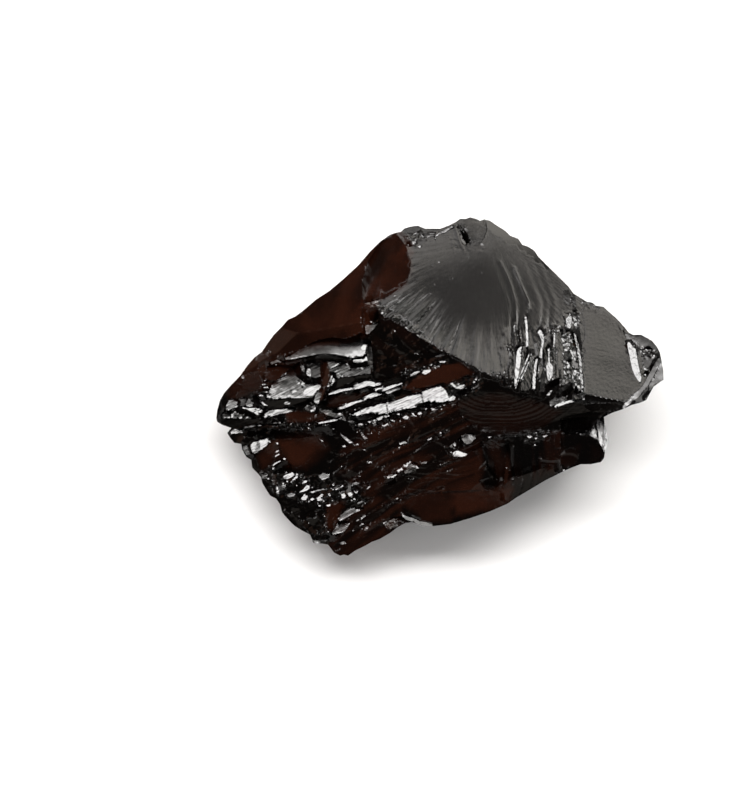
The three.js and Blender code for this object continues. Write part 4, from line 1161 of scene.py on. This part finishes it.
# the bottom left edge and the bottom tip
BOTTOM_PX = [
    crumble([(258, 472), (272, 472), (285, 476), (300, 474), (335, 480), (368, 484), (360, 500), (330, 506),
        (300, 502), (278, 497)], cell=0.9, lean=32, step=0.3, seed=17, soft=0.3),
    crumble([(282, 505), (330, 500), (336, 530), (325, 545), (300, 530), (285, 518)],
        cell=1.2, lean=14, step=0.2, seed=33),
    facet([(258, 474), (263, 473), (268, 475), (267, 479), (262, 479)], (16.5, 95), 0.05, wave=0.1),
    facet([(276, 491), (279, 490), (279.4, 494), (276.6, 494.6)], PALE),
    facet([(283, 476), (288, 474), (292.4, 472), (295, 475), (291, 478), (287, 479.6), (284, 479.6)],
        WHITE, 0.15, waver=0.05),
    facet([(295, 472), (298, 473), (297.6, 478), (293.6, 481), (290.4, 483.6), (289.4, 482.2),
        (293.6, 478.4), (296, 475)], WHITE, 0.15, waver=0.03),
    facets([
        [(286, 481), (288, 480.6), (288, 482.6), (286.4, 482.4)],
        [(301, 484), (304, 481), (308, 480), (306, 483), (303, 484.6)],
        [(305, 486.4), (307, 484), (309, 485), (309.2, 489), (306, 491), (302, 492.6), (296, 493),
            (300, 491.6), (303.6, 489)],
        [(304, 494), (307, 493), (308, 497), (306, 500), (303, 500.6), (300.6, 499), (303, 496)],
        [(315, 499), (319, 496), (322, 493.4), (324, 495), (321, 498), (324, 500), (320, 501.4),
            (316, 500.6)], [(328, 494), (330, 493), (331, 496), (329, 497)],
        [(309, 500), (312, 498), (314.6, 499.4), (312, 501)],
        [(341, 494), (344, 493), (346, 496), (344, 499.6), (341.4, 498)],
        [(347, 493), (352, 491), (353, 495), (349, 497), (348, 495)],
        [(353, 490), (356, 492), (358, 490), (357, 494), (355, 493)],
        [(317, 502.6), (320, 504), (321, 507), (318, 507)],
        [(326, 505), (330, 504), (330, 507), (327, 507)],
        [(298, 502), (300, 502), (300, 504.4), (298.2, 504)],
        [(332, 484), (334, 483), (334.4, 486), (332.4, 486)],
    ], WHITE, 0.12, waver=0.05),
    facets([
        [(309, 492), (316, 490), (322, 488.4), (327.4, 488), (327, 489.6), (320, 490.6), (312, 493)],
        [(286, 494), (291, 493), (296, 493.4), (294, 496.6), (289, 497.6), (287, 496)],
        [(334, 489), (338, 488), (342, 485), (344.4, 486), (340, 488.6), (336, 490)],
        [(366, 489), (369, 486), (371, 486), (368, 490)],
        [(351, 483.6), (356, 482), (361, 483), (356, 485)],
        [(318, 476), (324, 472.4), (330, 474), (329, 477.6), (322, 480)],
    ], (15, 95), 0.1, waver=0.05),
    facet([(286, 501), (297, 500), (297, 508), (288, 508)], (38, -100), -0.2),
    facet([(303, 503), (315, 502), (317, 510), (306, 514)], (38, -100), -0.2),
    flow([(330, 505), (372, 490), (402, 500), (396, 526), (345, 555), (320, 545)],
        angle=36, cell=2.6, step=0.16, lean=4, seed=35),
    streaks([(350, 500), (385, 492), (392, 520), (350, 545)],
        angle=35, fine=1.5, high=0.065, seed=36, soft=0.5),
    facet([(330, 508), (338, 503), (345, 504), (338, 515), (333, 528), (327, 530), (328, 518)],
        (27, -60), 0.05),
    facet([(337, 520), (340, 516), (345, 511), (350, 507.4), (355, 506), (357, 508), (361, 507),
        (364, 508.4), (360, 511), (354, 513), (349, 516.4), (344, 519.6), (340, 521)],
        (17.4, 86), 0.1, waver=0.04),
    facet([(331, 533.6), (335, 528), (339, 521.4), (344, 521), (349, 521.4), (350, 523), (347, 529),
        (343, 532.6), (337, 534), (333, 535)], (17.6, 86), 0.1, waver=0.04),
    facets([
        [(355, 521), (358, 519.4), (360, 520), (357, 521.6)],
        [(360, 519), (363, 516), (366, 514), (367, 514.6), (364, 517.6), (361, 520)],
        [(359, 526), (362, 523), (365, 522.4), (363, 524.6), (360, 526.6)],
        [(364, 529), (367, 526), (370, 526), (367, 530), (364, 531.6)],
        [(356, 503.6), (362, 501), (366, 500), (364, 502), (358, 505)],
    ], (17, 92), 0.05, waver=0.04),
    facet([(339, 543), (342, 541.6), (345, 541.4), (346, 543), (343, 545), (341, 544.6)],
        (12, 95), 0.05, wave=0.08),
    facet([(311, 540), (316, 541), (320, 540.4), (326, 539), (330, 537), (328, 541), (320, 544.6),
        (314, 543.6)], (19.5, 95), 0.05, wave=0.1),
    crease([(320, 537), (323, 533.6), (325, 531)], 0.14, 0.1),
]

# where the glass is brown: its own brown, and in places a painted warm reflection laid into the brown as well
BROWN_AND_WARM_SHEEN_PX = [
    # the brown shell: its brown is partly the glass's own and partly a painted warm reflection
    tint(LEFT_SHELL_FACE_PX, 0.8),
    tint([(250, 350), (300, 350), (300, 372), (275, 385), (250, 392), (235, 400), (222, 395)], 0.55),
    tint([(268, 366), (292, 366), (286, 374), (276, 381), (266, 380)], 0.7, 0.4),
    tint([(402, 388), (425, 372), (440, 366), (458, 363), (474, 373), (450, 381), (415, 391)], 1.5, 0.3),
    tint([(383, 358), (415, 352), (446, 352), (430, 362), (395, 372)], 0.7, 0.5),
    veins([(372, 305), (386, 306), (412, 324), (446, 352), (440, 362), (372, 372)],
        angle=-35, fine=0.6, low=0.0, high=0.12, seed=115),
    tint([(330, 396), (365, 394), (350, 406), (328, 406)], 0.6, 0.4),
    tint([(322, 360), (330, 362), (330, 385), (322, 400), (318, 400)], 0.6, 0.3),
    tint([(370, 430), (462, 404), (470, 425), (430, 440), (372, 446)], 1.0, 1.0),
    tint([(400, 445), (440, 432), (465, 428), (480, 450), (470, 470), (430, 470)], 0.8, 1.0),
    tint([(279, 442), (318, 436), (326, 448), (305, 464), (290, 464)], 1.15, 1.6),
    tint([(257, 455), (273, 443), (283, 455), (262, 470)], 0.8, 1.0),
    tint([(286, 412), (327, 413), (326, 421), (288, 421)], 0.8, 0.4),
    tint([(400, 480), (450, 455), (480, 460), (480, 490), (430, 500), (372, 505), (380, 490)], 0.8, 1.0),
    tint([(400, 500), (440, 493), (455, 500), (450, 520), (425, 522)], 0.55, 0.8),
    tint([(450, 488), (512, 488), (508, 506), (455, 515)], 1.1, 0.8),
    tint([(327, 505), (345, 502), (335, 530), (326, 532)], 0.9, 0.5),
    tint([(330, 545), (345, 520), (380, 515), (395, 500), (402, 525), (345, 558)], 0.8, 1.0),
    tint([(375, 490), (400, 485), (400, 510), (372, 512)], 1.0, 0.8),
    tint([(550, 432), (560, 432), (560, 450), (552, 452)], 0.4, 0.4),
    tint([(558, 448), (578, 446), (578, 468), (558, 470)], 0.15, 0.6),
    tint([(590, 445), (600, 448), (602, 460), (590, 462)], 0.1, 0.6),
    tint([(457, 401), (500, 393), (545, 405), (560, 412), (540, 430), (500, 434), (470, 428)], 0.28, 0.6),
    tint([(502, 440), (510, 440), (510, 486), (500, 486)], 0.7, 0.3),
    veins([(345, 440), (372, 430), (462, 404), (480, 440), (475, 480), (400, 505), (372, 500), (335, 470)],
        angle=27, fine=0.9, low=0.05, high=0.62, seed=111),
    veins([(330, 545), (345, 520), (372, 500), (402, 500), (402, 525), (345, 558)],
        angle=38, fine=1.1, low=0.08, high=0.6, seed=112),
    veins([(480, 440), (560, 434), (560, 472), (500, 486)],
        angle=95, fine=0.8, low=0.0, high=0.45, seed=113),
    # streaks on the brown shell, which paint its warm sheen as well as its brown
    veins(LEFT_SHELL_FACE_PX, angle=66, fine=0.42, low=0.35, high=0.92, seed=114),
    # a painted warm reflection on the upper left edge, laid in as brown
    tint([(252, 358), (276, 318), (300, 322), (312, 336), (306, 352)], 0.3, 1.8),
]
EVERYTHING = (
    FINISH_PX + CROWN_PX + WING_TIP_PX + LEFT_SHELL_PX + LEFT_CLUSTER_PX + NOTCH_PX + FLUTES_PX + LOWER_PX
    + BOTTOM_PX + BROWN_AND_WARM_SHEEN_PX
)


def top_surface(x, y):
    top = Surface(x, y)
    for piece in EVERYTHING:
        piece(top)
    top.z = top.z + 0.006 * rough_noise(x * 0.8, y * 0.8, 77)
    return top


# ---------------------------------------------------------------- the sides
# The flat breaks and the shells that the sides are made of, each as the ones above. These lean past
# level, so the stone is undercut.

SIDES = [
    ((-0.9, 28.9, 18.8), 106, 92), ((-18.8, 18.9, 15.5), 114, 135), ((-33.8, 10.6, 12.0), 106, 163),
    ((-37.2, -10.0, 10.5), 118, 196), ((-26.0, -24.4, 9.5), 105, 226), ((-9.0, -30.2, 10.0), 113, 258),
    ((11.0, -22.2, 13.5), 103, 295), ((26.6, -18.0, 16.0), 112, 323), ((37.4, -3.6, 22.0), 110, 352),
    ((33.0, 15.6, 21.0), 116, 32), ((19.5, 25.2, 19.0), 107, 60), ((8.0, -21.0, 4.0), 137, 276),
    ((31.0, 8.0, 5.0), 139, 14), ((-28.0, 9.0, 4.0), 141, 150), ((8.0, 24.0, 4.5), 136, 78),
]
SIDE_SHELLS = [
    ((19.0, 18.0, 8.0), 106, 50, 24), ((-23.5, 11.0, 7.0), 108, 140, 30), ((0.5, -20.6, 7.5), 104, 280, 22),
    ((27.5, -5.0, 9.0), 108, 346, 20), ((-25.5, -15.5, 5.5), 106, 213, 20), ((2.5, 25.0, 9.0), 102, 96, 26),
    ((-35.0, -3.0, 5.5), 112, 182, 18), ((16.0, -17.0, 8.0), 104, 312, 24),
]


def side_reach(turn, z):
    """How far the side stands from the stone's middle line, at each heading and height."""
    c, s = np.cos(turn), np.sin(turn)
    reach = np.full(np.broadcast(turn, z).shape, 1e3)
    for at, lean, toward in SIDES:
        n = leaning(lean, toward)
        facing = n[0] * c + n[1] * s
        room = (n @ np.array(at)) - n[2] * z
        reach = np.where(facing > 1e-3, np.minimum(reach, room / np.maximum(facing, 1e-3)), reach)
    for at, lean, toward, radius in SIDE_SHELLS:
        middle = np.array(at) + leaning(lean, toward) * radius
        b = middle[0] * c + middle[1] * s
        left = b**2 - (middle[0] ** 2 + middle[1] ** 2 + (z - middle[2]) ** 2 - radius**2)
        near = b - np.sqrt(np.maximum(left, 0))
        reach = np.where((left > 0) & (b > 0) & (near > 0), np.minimum(reach, near), reach)
    return reach


def scars(x, y, cell, radius, tilt, vary, seed):
    """Shallow flake scars that meet in ridges: the lowest of a bowl in each cell."""
    ix, iy = np.floor(x / cell), np.floor(y / cell)
    low, away = np.full(x.shape, 1e9), np.zeros(x.shape)
    for i in (-1, 0, 1):
        for j in (-1, 0, 1):
            cx, cy = ix + i, iy + j
            dx = x - (cx + scatter(cx, cy, seed)) * cell
            dy = y - (cy + scatter(cx, cy, seed + 7)) * cell
            way = scatter(cx, cy, seed + 13) * 2 * math.pi
            bowl = (dx**2 + dy**2) / (2 * radius) + tilt * (dx * np.cos(way) + dy * np.sin(way))
            bowl = bowl + vary * scatter(cx, cy, seed + 29)
            blow = np.hypot(dx - cell * 0.9 * np.cos(way), dy - cell * 0.9 * np.sin(way))
            away = np.where(bowl < low, blow, away)
            low = np.minimum(low, bowl)
    return low, away


def side_chips(turn, z):
    """How much has flaked off the sides, in wide scars, small ones and fine hackles."""
    arc = turn * 27 + 0.8 * noise(turn * 9, z * 0.3, 207)
    wide, away = scars(arc, z * 1.15 + arc * 0.2, 8.5, 6.8, 0.22, 1.0, 201)
    small, _ = scars(arc - z * 0.4, z, 3.3, 3.8, 0.15, 0.5, 202)
    small = small * ease(-0.6, 0.1, noise(arc * 0.11, z * 0.15, 205))
    ribs = np.sin(away * 2 * math.pi / 2.1 + 2 * noise(away * 0.4, arc * 0.05, 206))
    ribs = ribs * ease(-0.5, 0.5, noise(arc * 0.13, z * 0.2, 208))
    fine = 0.05 * noise(arc * 1.3 + z * 0.5, z * 0.4, 203)
    return np.maximum(0, CHIP_DEPTH - wide - small + 0.07 * ribs + fine)


# ---------------------------------------------------------------- the mesh


def edge_cells(x, y):
    """The number of the small square that each point lies in, with CELLS squares to a column."""
    column, row = (np.floor(v / EDGE_CELL).astype(np.int64) + CELLS // 2 for v in (x, y))
    return column * CELLS + row


def plan_points(rim):
    """Points over the whole plan: rows along every break's edge, and an even spread between them."""
    nowhere = np.zeros(1)
    rows = np.concatenate(top_surface(nowhere, nowhere).rows)
    rows = np.unique(np.round(rows / 0.02), axis=0) * 0.02
    rows = rows[depth_inside(rim, rows[:, 0], rows[:, 1]) > 0.1]
    shifts = (-EDGE_CELL, 0, EDGE_CELL)
    taken = np.unique([edge_cells(rows[:, 0] + dx, rows[:, 1] + dy) for dx in shifts for dy in shifts])
    plain = [shape(*face) for face in PLAIN_FACES_PX]
    wide, deep = PLAN_REACH
    x, y = [rim[:, 0], rows[:, 0]], [rim[:, 1], rows[:, 1]]
    for spacing, is_plain in ((FINE_SPACING, False), (PLAIN_SPACING, True)):
        ys = np.arange(-deep, deep, spacing * math.sqrt(3) / 2)
        gx, gy = np.meshgrid(np.arange(-wide, wide, spacing), ys)
        gx = (gx + spacing / 2 * (np.arange(len(ys)) % 2)[:, None]).ravel()
        gy = gy.ravel()
        depth = np.maximum.reduce([depth_inside(face, gx, gy) for face in plain])
        keep = (depth > 0.12) if is_plain else (depth < -0.12)
        keep &= ~np.isin(edge_cells(gx, gy), taken)
        gx, gy = gx[keep], gy[keep]
        inside = depth_inside(rim, gx, gy) > spacing * 0.55
        x.append(gx[inside])
        y.append(gy[inside])
    return np.concatenate(x), np.concatenate(y)


def joined_up(x, y, border):
    """Triangles that join the points, inside a border made of the first of them."""
    points = [Vector(p) for p in zip(x.tolist(), y.tolist())]
    edges = [(i, (i + 1) % border) for i in range(border)]
    _, _, faces, origins, _, _ = geometry.delaunay_2d_cdt(points, edges, [], 1, NO_MERGE)
    return [tuple(origins[i][0] for i in face) for face in faces]


def build_walls(rim, z_rim):
    """Rings from the rim down to the level underside, and how worn and brown each point is."""
    turn = np.arctan2(rim[:, 1], rim[:, 0])[None, :]
    far = np.hypot(rim[:, 0], rim[:, 1])[None, :]
    share = ((np.arange(1, WALL_RINGS + 1) / WALL_RINGS) ** RING_CROWDING)[:, None]
    z = z_rim[None, :] * (1 - share)
    reach = np.minimum(far, side_reach(turn, z) + SIDE_ALLOWANCE) - ease(0, 0.2, share) * side_chips(turn, z)
    verts = np.stack([(reach * np.cos(turn)).ravel(), (reach * np.sin(turn)).ravel(), z.ravel()], 1)
    patch = noise(turn * 8, z * 0.25, 209) + 0.5 * noise(turn * 22, z * 0.7, 210)
    glow = ease(0.1, 0.7, noise(turn * 3.5 + 4, z * 0.16 + 2, 211)).ravel()
    worn = ease(0.0, 0.25, share + 0.12 * patch).ravel() * (1 - 0.75 * glow)
    return verts, worn, 0.25 + 0.55 * glow


def wall_faces(rings):
    faces = []
    for above, below in zip(rings, rings[1:]):
        for i in range(len(above)):
            j = (i + 1) % len(above)
            faces.append((above[i], below[i], below[j], above[j]))
    return faces


def build_stone():
    """The stone's points and faces, and what the finish needs to know at each point."""
    rim = walk_round(shape(*OUTLINE_PX)[::-1], RIM_SPACING)
    around = len(rim)
    x, y = plan_points(rim)
    top = top_surface(x, y)
    faces = joined_up(x, y, around)

    walls, wall_worn, wall_brown = build_walls(rim, top.z[:around])
    first = len(x)
    rings = [list(range(around))]
    rings += [list(range(first + k * around, first + (k + 1) * around)) for k in range(WALL_RINGS)]
    faces += wall_faces(rings)

    # the level underside
    sole = walls[-around:, :2]
    wide, deep = PLAN_REACH
    bx, by = np.meshgrid(np.arange(-wide, wide, SOLE_SPACING), np.arange(-deep, deep, SOLE_SPACING))
    bx, by = bx.ravel(), by.ravel()
    keep = depth_inside(sole, bx, by) > SOLE_SPACING / 2
    bx, by = np.concatenate([sole[:, 0], bx[keep]]), np.concatenate([sole[:, 1], by[keep]])
    start = first + len(walls) - around
    faces += [tuple(start + i for i in reversed(face)) for face in joined_up(bx, by, around)]
    middle = np.column_stack([bx[around:], by[around:], np.zeros(len(bx) - around)])

    verts = np.concatenate([np.stack([x, y, top.z], 1), walls, middle])
    hidden = len(verts) - first
    brown = np.concatenate([top.brown, wall_brown, np.full(len(middle), 0.3)])
    satin = np.concatenate([top.satin, np.full(hidden, 0.15)])
    worn = np.concatenate([np.zeros(first), wall_worn, np.ones(len(middle))])
    low = verts[first:]
    wall_grain = np.stack([np.arctan2(low[:, 1], low[:, 0]) * 26, low[:, 2] * 0.15, np.full(hidden, 0.7)], 1)
    grain = np.concatenate([top.grain, wall_grain])
    return verts, faces, {"brown": brown, "satin": satin, "worn": worn}, grain


def make_stone():
    verts, faces, finishes, grain = build_stone()
    mesh = bpy.data.meshes.new("stone_surface")
    mesh.from_pydata((verts * MM).tolist(), [], faces)
    mesh.validate()
    for name, values in finishes.items():
        mesh.attributes.new(name, "FLOAT", "POINT").data.foreach_set("value", values.astype(np.float32))
    lines = mesh.attributes.new("grain", "FLOAT_VECTOR", "POINT")
    lines.data.foreach_set("vector", grain.astype(np.float32).ravel())
    stone = bpy.data.objects.new("shungite_stone", mesh)
    bpy.context.collection.objects.link(stone)
    bpy.ops.object.select_all(action="DESELECT")
    stone.select_set(True)
    bpy.context.view_layer.objects.active = stone
    bpy.ops.object.shade_smooth_by_angle(angle=math.radians(SMOOTH_BELOW))
    return stone


# ---------------------------------------------------------------- the finish

BLACK_GLASS = (0.0009, 0.0006, 0.0005, 1)
# the glass's own brown, which on the top also stands in places for a painted warm reflection
BROWN_GLASS_AND_WARM_SHEEN = (0.0165, 0.0046, 0.0022, 1)
WORN_GLASS = (0.0055, 0.0036, 0.0031, 1)
GLASS_IOR = 1.55
GLASSY_TO_SATIN = (0.13, 0.27)
WORN_ROUGHNESS = 0.19
HACKLE_DEPTH = 0.00009


def glassy_black():
    mat = bpy.data.materials.new("glassy_black_stone")
    mat.use_nodes = True
    tree = mat.node_tree
    glass = tree.nodes["Principled BSDF"]
    glass.inputs["IOR"].default_value = GLASS_IOR

    def node(kind, inputs=None, **settings):
        n = tree.nodes.new("ShaderNode" + kind)
        for key, value in settings.items():
            setattr(n, key, value)
        for key, value in (inputs or {}).items():
            n.inputs[key].default_value = value
        return n

    def link(source, output, target, socket):
        tree.links.new(source.outputs[output], target.inputs[socket])

    # brown where the glass is thin, and on the top in places a painted warm reflection, with cloudiness in it
    brown = node("Attribute", attribute_name="brown")
    glow = node("Mix", {"A": BLACK_GLASS, "B": BROWN_GLASS_AND_WARM_SHEEN}, data_type="RGBA")
    place = node("TexCoord")
    cloud = node("TexNoise", {"Scale": 170, "Detail": 4, "Roughness": 0.62})
    thick = node("MapRange", {"From Min": 0.32, "From Max": 0.68, "To Min": 0.5, "To Max": 1.25})
    cloudy = node("Math", operation="MULTIPLY", use_clamp=True)
    link(place, "Object", cloud, "Vector")
    link(cloud, "Fac", thick, "Value")
    link(brown, "Fac", cloudy, 0)
    link(thick, "Result", cloudy, 1)
    link(cloudy, 0, glow, "Factor")
    worn = node("Attribute", attribute_name="worn")
    dull = node("Mix", {"B": WORN_GLASS}, data_type="RGBA")
    link(worn, "Fac", dull, "Factor")
    link(glow, "Result", dull, "A")
    link(dull, "Result", glass, "Base Color")
    # satin faces and glassy ones
    satin = node("Attribute", attribute_name="satin")
    rough = node("MapRange", {"To Min": GLASSY_TO_SATIN[0], "To Max": GLASSY_TO_SATIN[1]})
    matt = node("Mix", {"B": WORN_ROUGHNESS})
    link(satin, "Fac", rough, "Value")
    link(worn, "Fac", matt, "Factor")
    link(rough, "Result", matt, "A")
    link(matt, "Result", glass, "Roughness")
    # the finest hackles, along each face's own grain
    grain = node("Attribute", attribute_name="grain")
    split = node("SeparateXYZ")
    join = node("CombineXYZ")
    fine = node("TexNoise", {"Scale": 2.4, "Detail": 2.5, "Roughness": 0.6})
    deep = node("Math", operation="MULTIPLY")
    bump = node("Bump", {"Strength": 0.5, "Distance": HACKLE_DEPTH})
    link(grain, "Vector", split, 0)
    link(split, "X", join, "X")
    link(split, "Y", join, "Y")
    link(join, 0, fine, "Vector")
    link(fine, "Fac", deep, 0)
    link(split, "Z", deep, 1)
    link(deep, 0, bump, "Height")
    link(bump, "Normal", glass, "Normal")
    return mat


# ---------------------------------------------------------------- the studio
# Each lamp is a soft box: its heading, how far it stands from straight up, its half width and half height
# as the stone sees it, how bright it is, and its colour.

WARM = (1, 0.97, 0.93)
NEUTRAL = (1, 0.97, 0.94)
LAMP_DISTANCE = 1.2
LAMPS_AIM = (0, 0, 0.022)
LAMPS = [
    ("bright_strip", 90, 20, 26, 5, 21, (1, 0.98, 0.97)),
    ("strip_edge", 90, 28.5, 30, 3.2, 5.5, (1, 0.98, 0.96)),
    ("upper_box", 86, 35.5, 34, 3.8, 1.9, WARM),
    ("gap_box", 80, 47, 34, 7, 0.08, WARM),
    ("low_box", 69, 66, 16, 11, 3.3, (1, 0.95, 0.87)),
    ("low_box_left", 101, 66, 13, 11, 2.3, (1, 0.97, 0.95)),
    ("side_strip", 44, 60, 6, 15, 6, WARM),
    ("front_fill", -98, 66, 48, 6, 0.25, (1, 0.90, 0.80)),
    ("left_fill", 178, 62, 26, 14, 0.3, (1, 0.55, 0.38)),
    ("low_ring", 190, 80, 12, 7, 2.0, NEUTRAL),
    ("low_ring", 300, 80, 12, 7, 0.9, NEUTRAL),
    ("low_ring", 345, 80, 12, 7, 1.6, NEUTRAL),
    ("low_ring", 22, 80, 12, 7, 2.0, NEUTRAL),
    ("level_ring", 135, 88, 20, 3.5, 1.0, NEUTRAL),
    ("level_ring", 85, 88, 20, 3.5, 1.0, NEUTRAL),
    ("level_ring", 198, 88, 20, 3.5, 1.0, NEUTRAL),
]
PALE_FLOOR = (0.8, 0.8, 0.8, 1)
FLOOR_IN_THE_GLASS = (0.13, 0.127, 0.124, 1)
PALE_BACKDROP = (0.9, 0.9, 0.9, 1)
DARK_ROOM = (0.02, 0.018, 0.017, 1)


def softbox(name, heading, from_up, half_wide, half_high, radiance, colour=(1, 1, 1), distance=LAMP_DISTANCE):
    h, z = math.radians(heading), math.radians(from_up)
    way = Vector((math.sin(z) * math.cos(h), math.sin(z) * math.sin(h), math.cos(z)))
    light = bpy.data.lights.new(name, "AREA")
    light.shape = "RECTANGLE"
    light.size = 2 * distance * math.tan(math.radians(half_wide))
    light.size_y = 2 * distance * math.tan(math.radians(half_high))
    light.energy = radiance * light.size * light.size_y * math.pi
    light.color = colour
    lamp = bpy.data.objects.new(name, light)
    lamp.location = Vector(LAMPS_AIM) + way * distance
    lamp.rotation_mode = "QUATERNION"
    lamp.rotation_quaternion = way.to_track_quat("Z", "Y")
    bpy.context.collection.objects.link(lamp)
    return lamp


def make_floor():
    """A floor of pale paper, which the glass shows darker than it is."""
    bpy.ops.mesh.primitive_plane_add(size=6)
    floor = bpy.context.object
    floor.name = "pale_floor"
    mat = bpy.data.materials.new("pale_paper")
    mat.use_nodes = True
    tree = mat.node_tree
    paper = tree.nodes["Principled BSDF"]
    paper.inputs["Roughness"].default_value = 0.9
    path = tree.nodes.new("ShaderNodeLightPath")
    tone = tree.nodes.new("ShaderNodeMix")
    tone.data_type = "RGBA"
    tone.inputs["A"].default_value = PALE_FLOOR
    tone.inputs["B"].default_value = FLOOR_IN_THE_GLASS
    tree.links.new(path.outputs["Is Glossy Ray"], tone.inputs["Factor"])
    tree.links.new(tone.outputs["Result"], paper.inputs["Base Color"])
    floor.data.materials.append(mat)


def make_backdrop():
    """Pale to the camera and dark to the stone, so that only the lamps shine in it."""
    world = bpy.data.worlds.new("studio")
    bpy.context.scene.world = world
    world.use_nodes = True
    tree = world.node_tree
    dark = tree.nodes["Background"]
    dark.inputs["Color"].default_value = DARK_ROOM
    pale = tree.nodes.new("ShaderNodeBackground")
    pale.inputs["Color"].default_value = PALE_BACKDROP
    path = tree.nodes.new("ShaderNodeLightPath")
    mix = tree.nodes.new("ShaderNodeMixShader")
    tree.links.new(path.outputs["Is Camera Ray"], mix.inputs[0])
    tree.links.new(dark.outputs[0], mix.inputs[1])
    tree.links.new(pale.outputs[0], mix.inputs[2])
    tree.links.new(mix.outputs[0], tree.nodes["World Output"].inputs["Surface"])


def make_studio():
    make_floor()
    for lamp in LAMPS:
        softbox(*lamp)
    overhead = softbox("overhead_fill", 90, 0, 55, 55, 0.6, distance=3)
    overhead.visible_glossy = False
    make_backdrop()


def make_camera():
    """It looks straight down from about two metres, through a long lens."""
    cam = bpy.data.cameras.new("camera")
    cam.sensor_width = 36
    cam.lens = 542.7
    cam.clip_start, cam.clip_end = 0.05, 20
    obj = bpy.data.objects.new("camera", cam)
    obj.location = (-0.01207, -0.00302, 2.116)
    bpy.context.collection.objects.link(obj)
    bpy.context.scene.camera = obj


make_camera()
stone = make_stone()
stone.data.materials.append(glassy_black())
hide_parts("stone")
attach(stone, "root")
make_studio()
bpy.context.scene.view_settings.view_transform = "Standard"
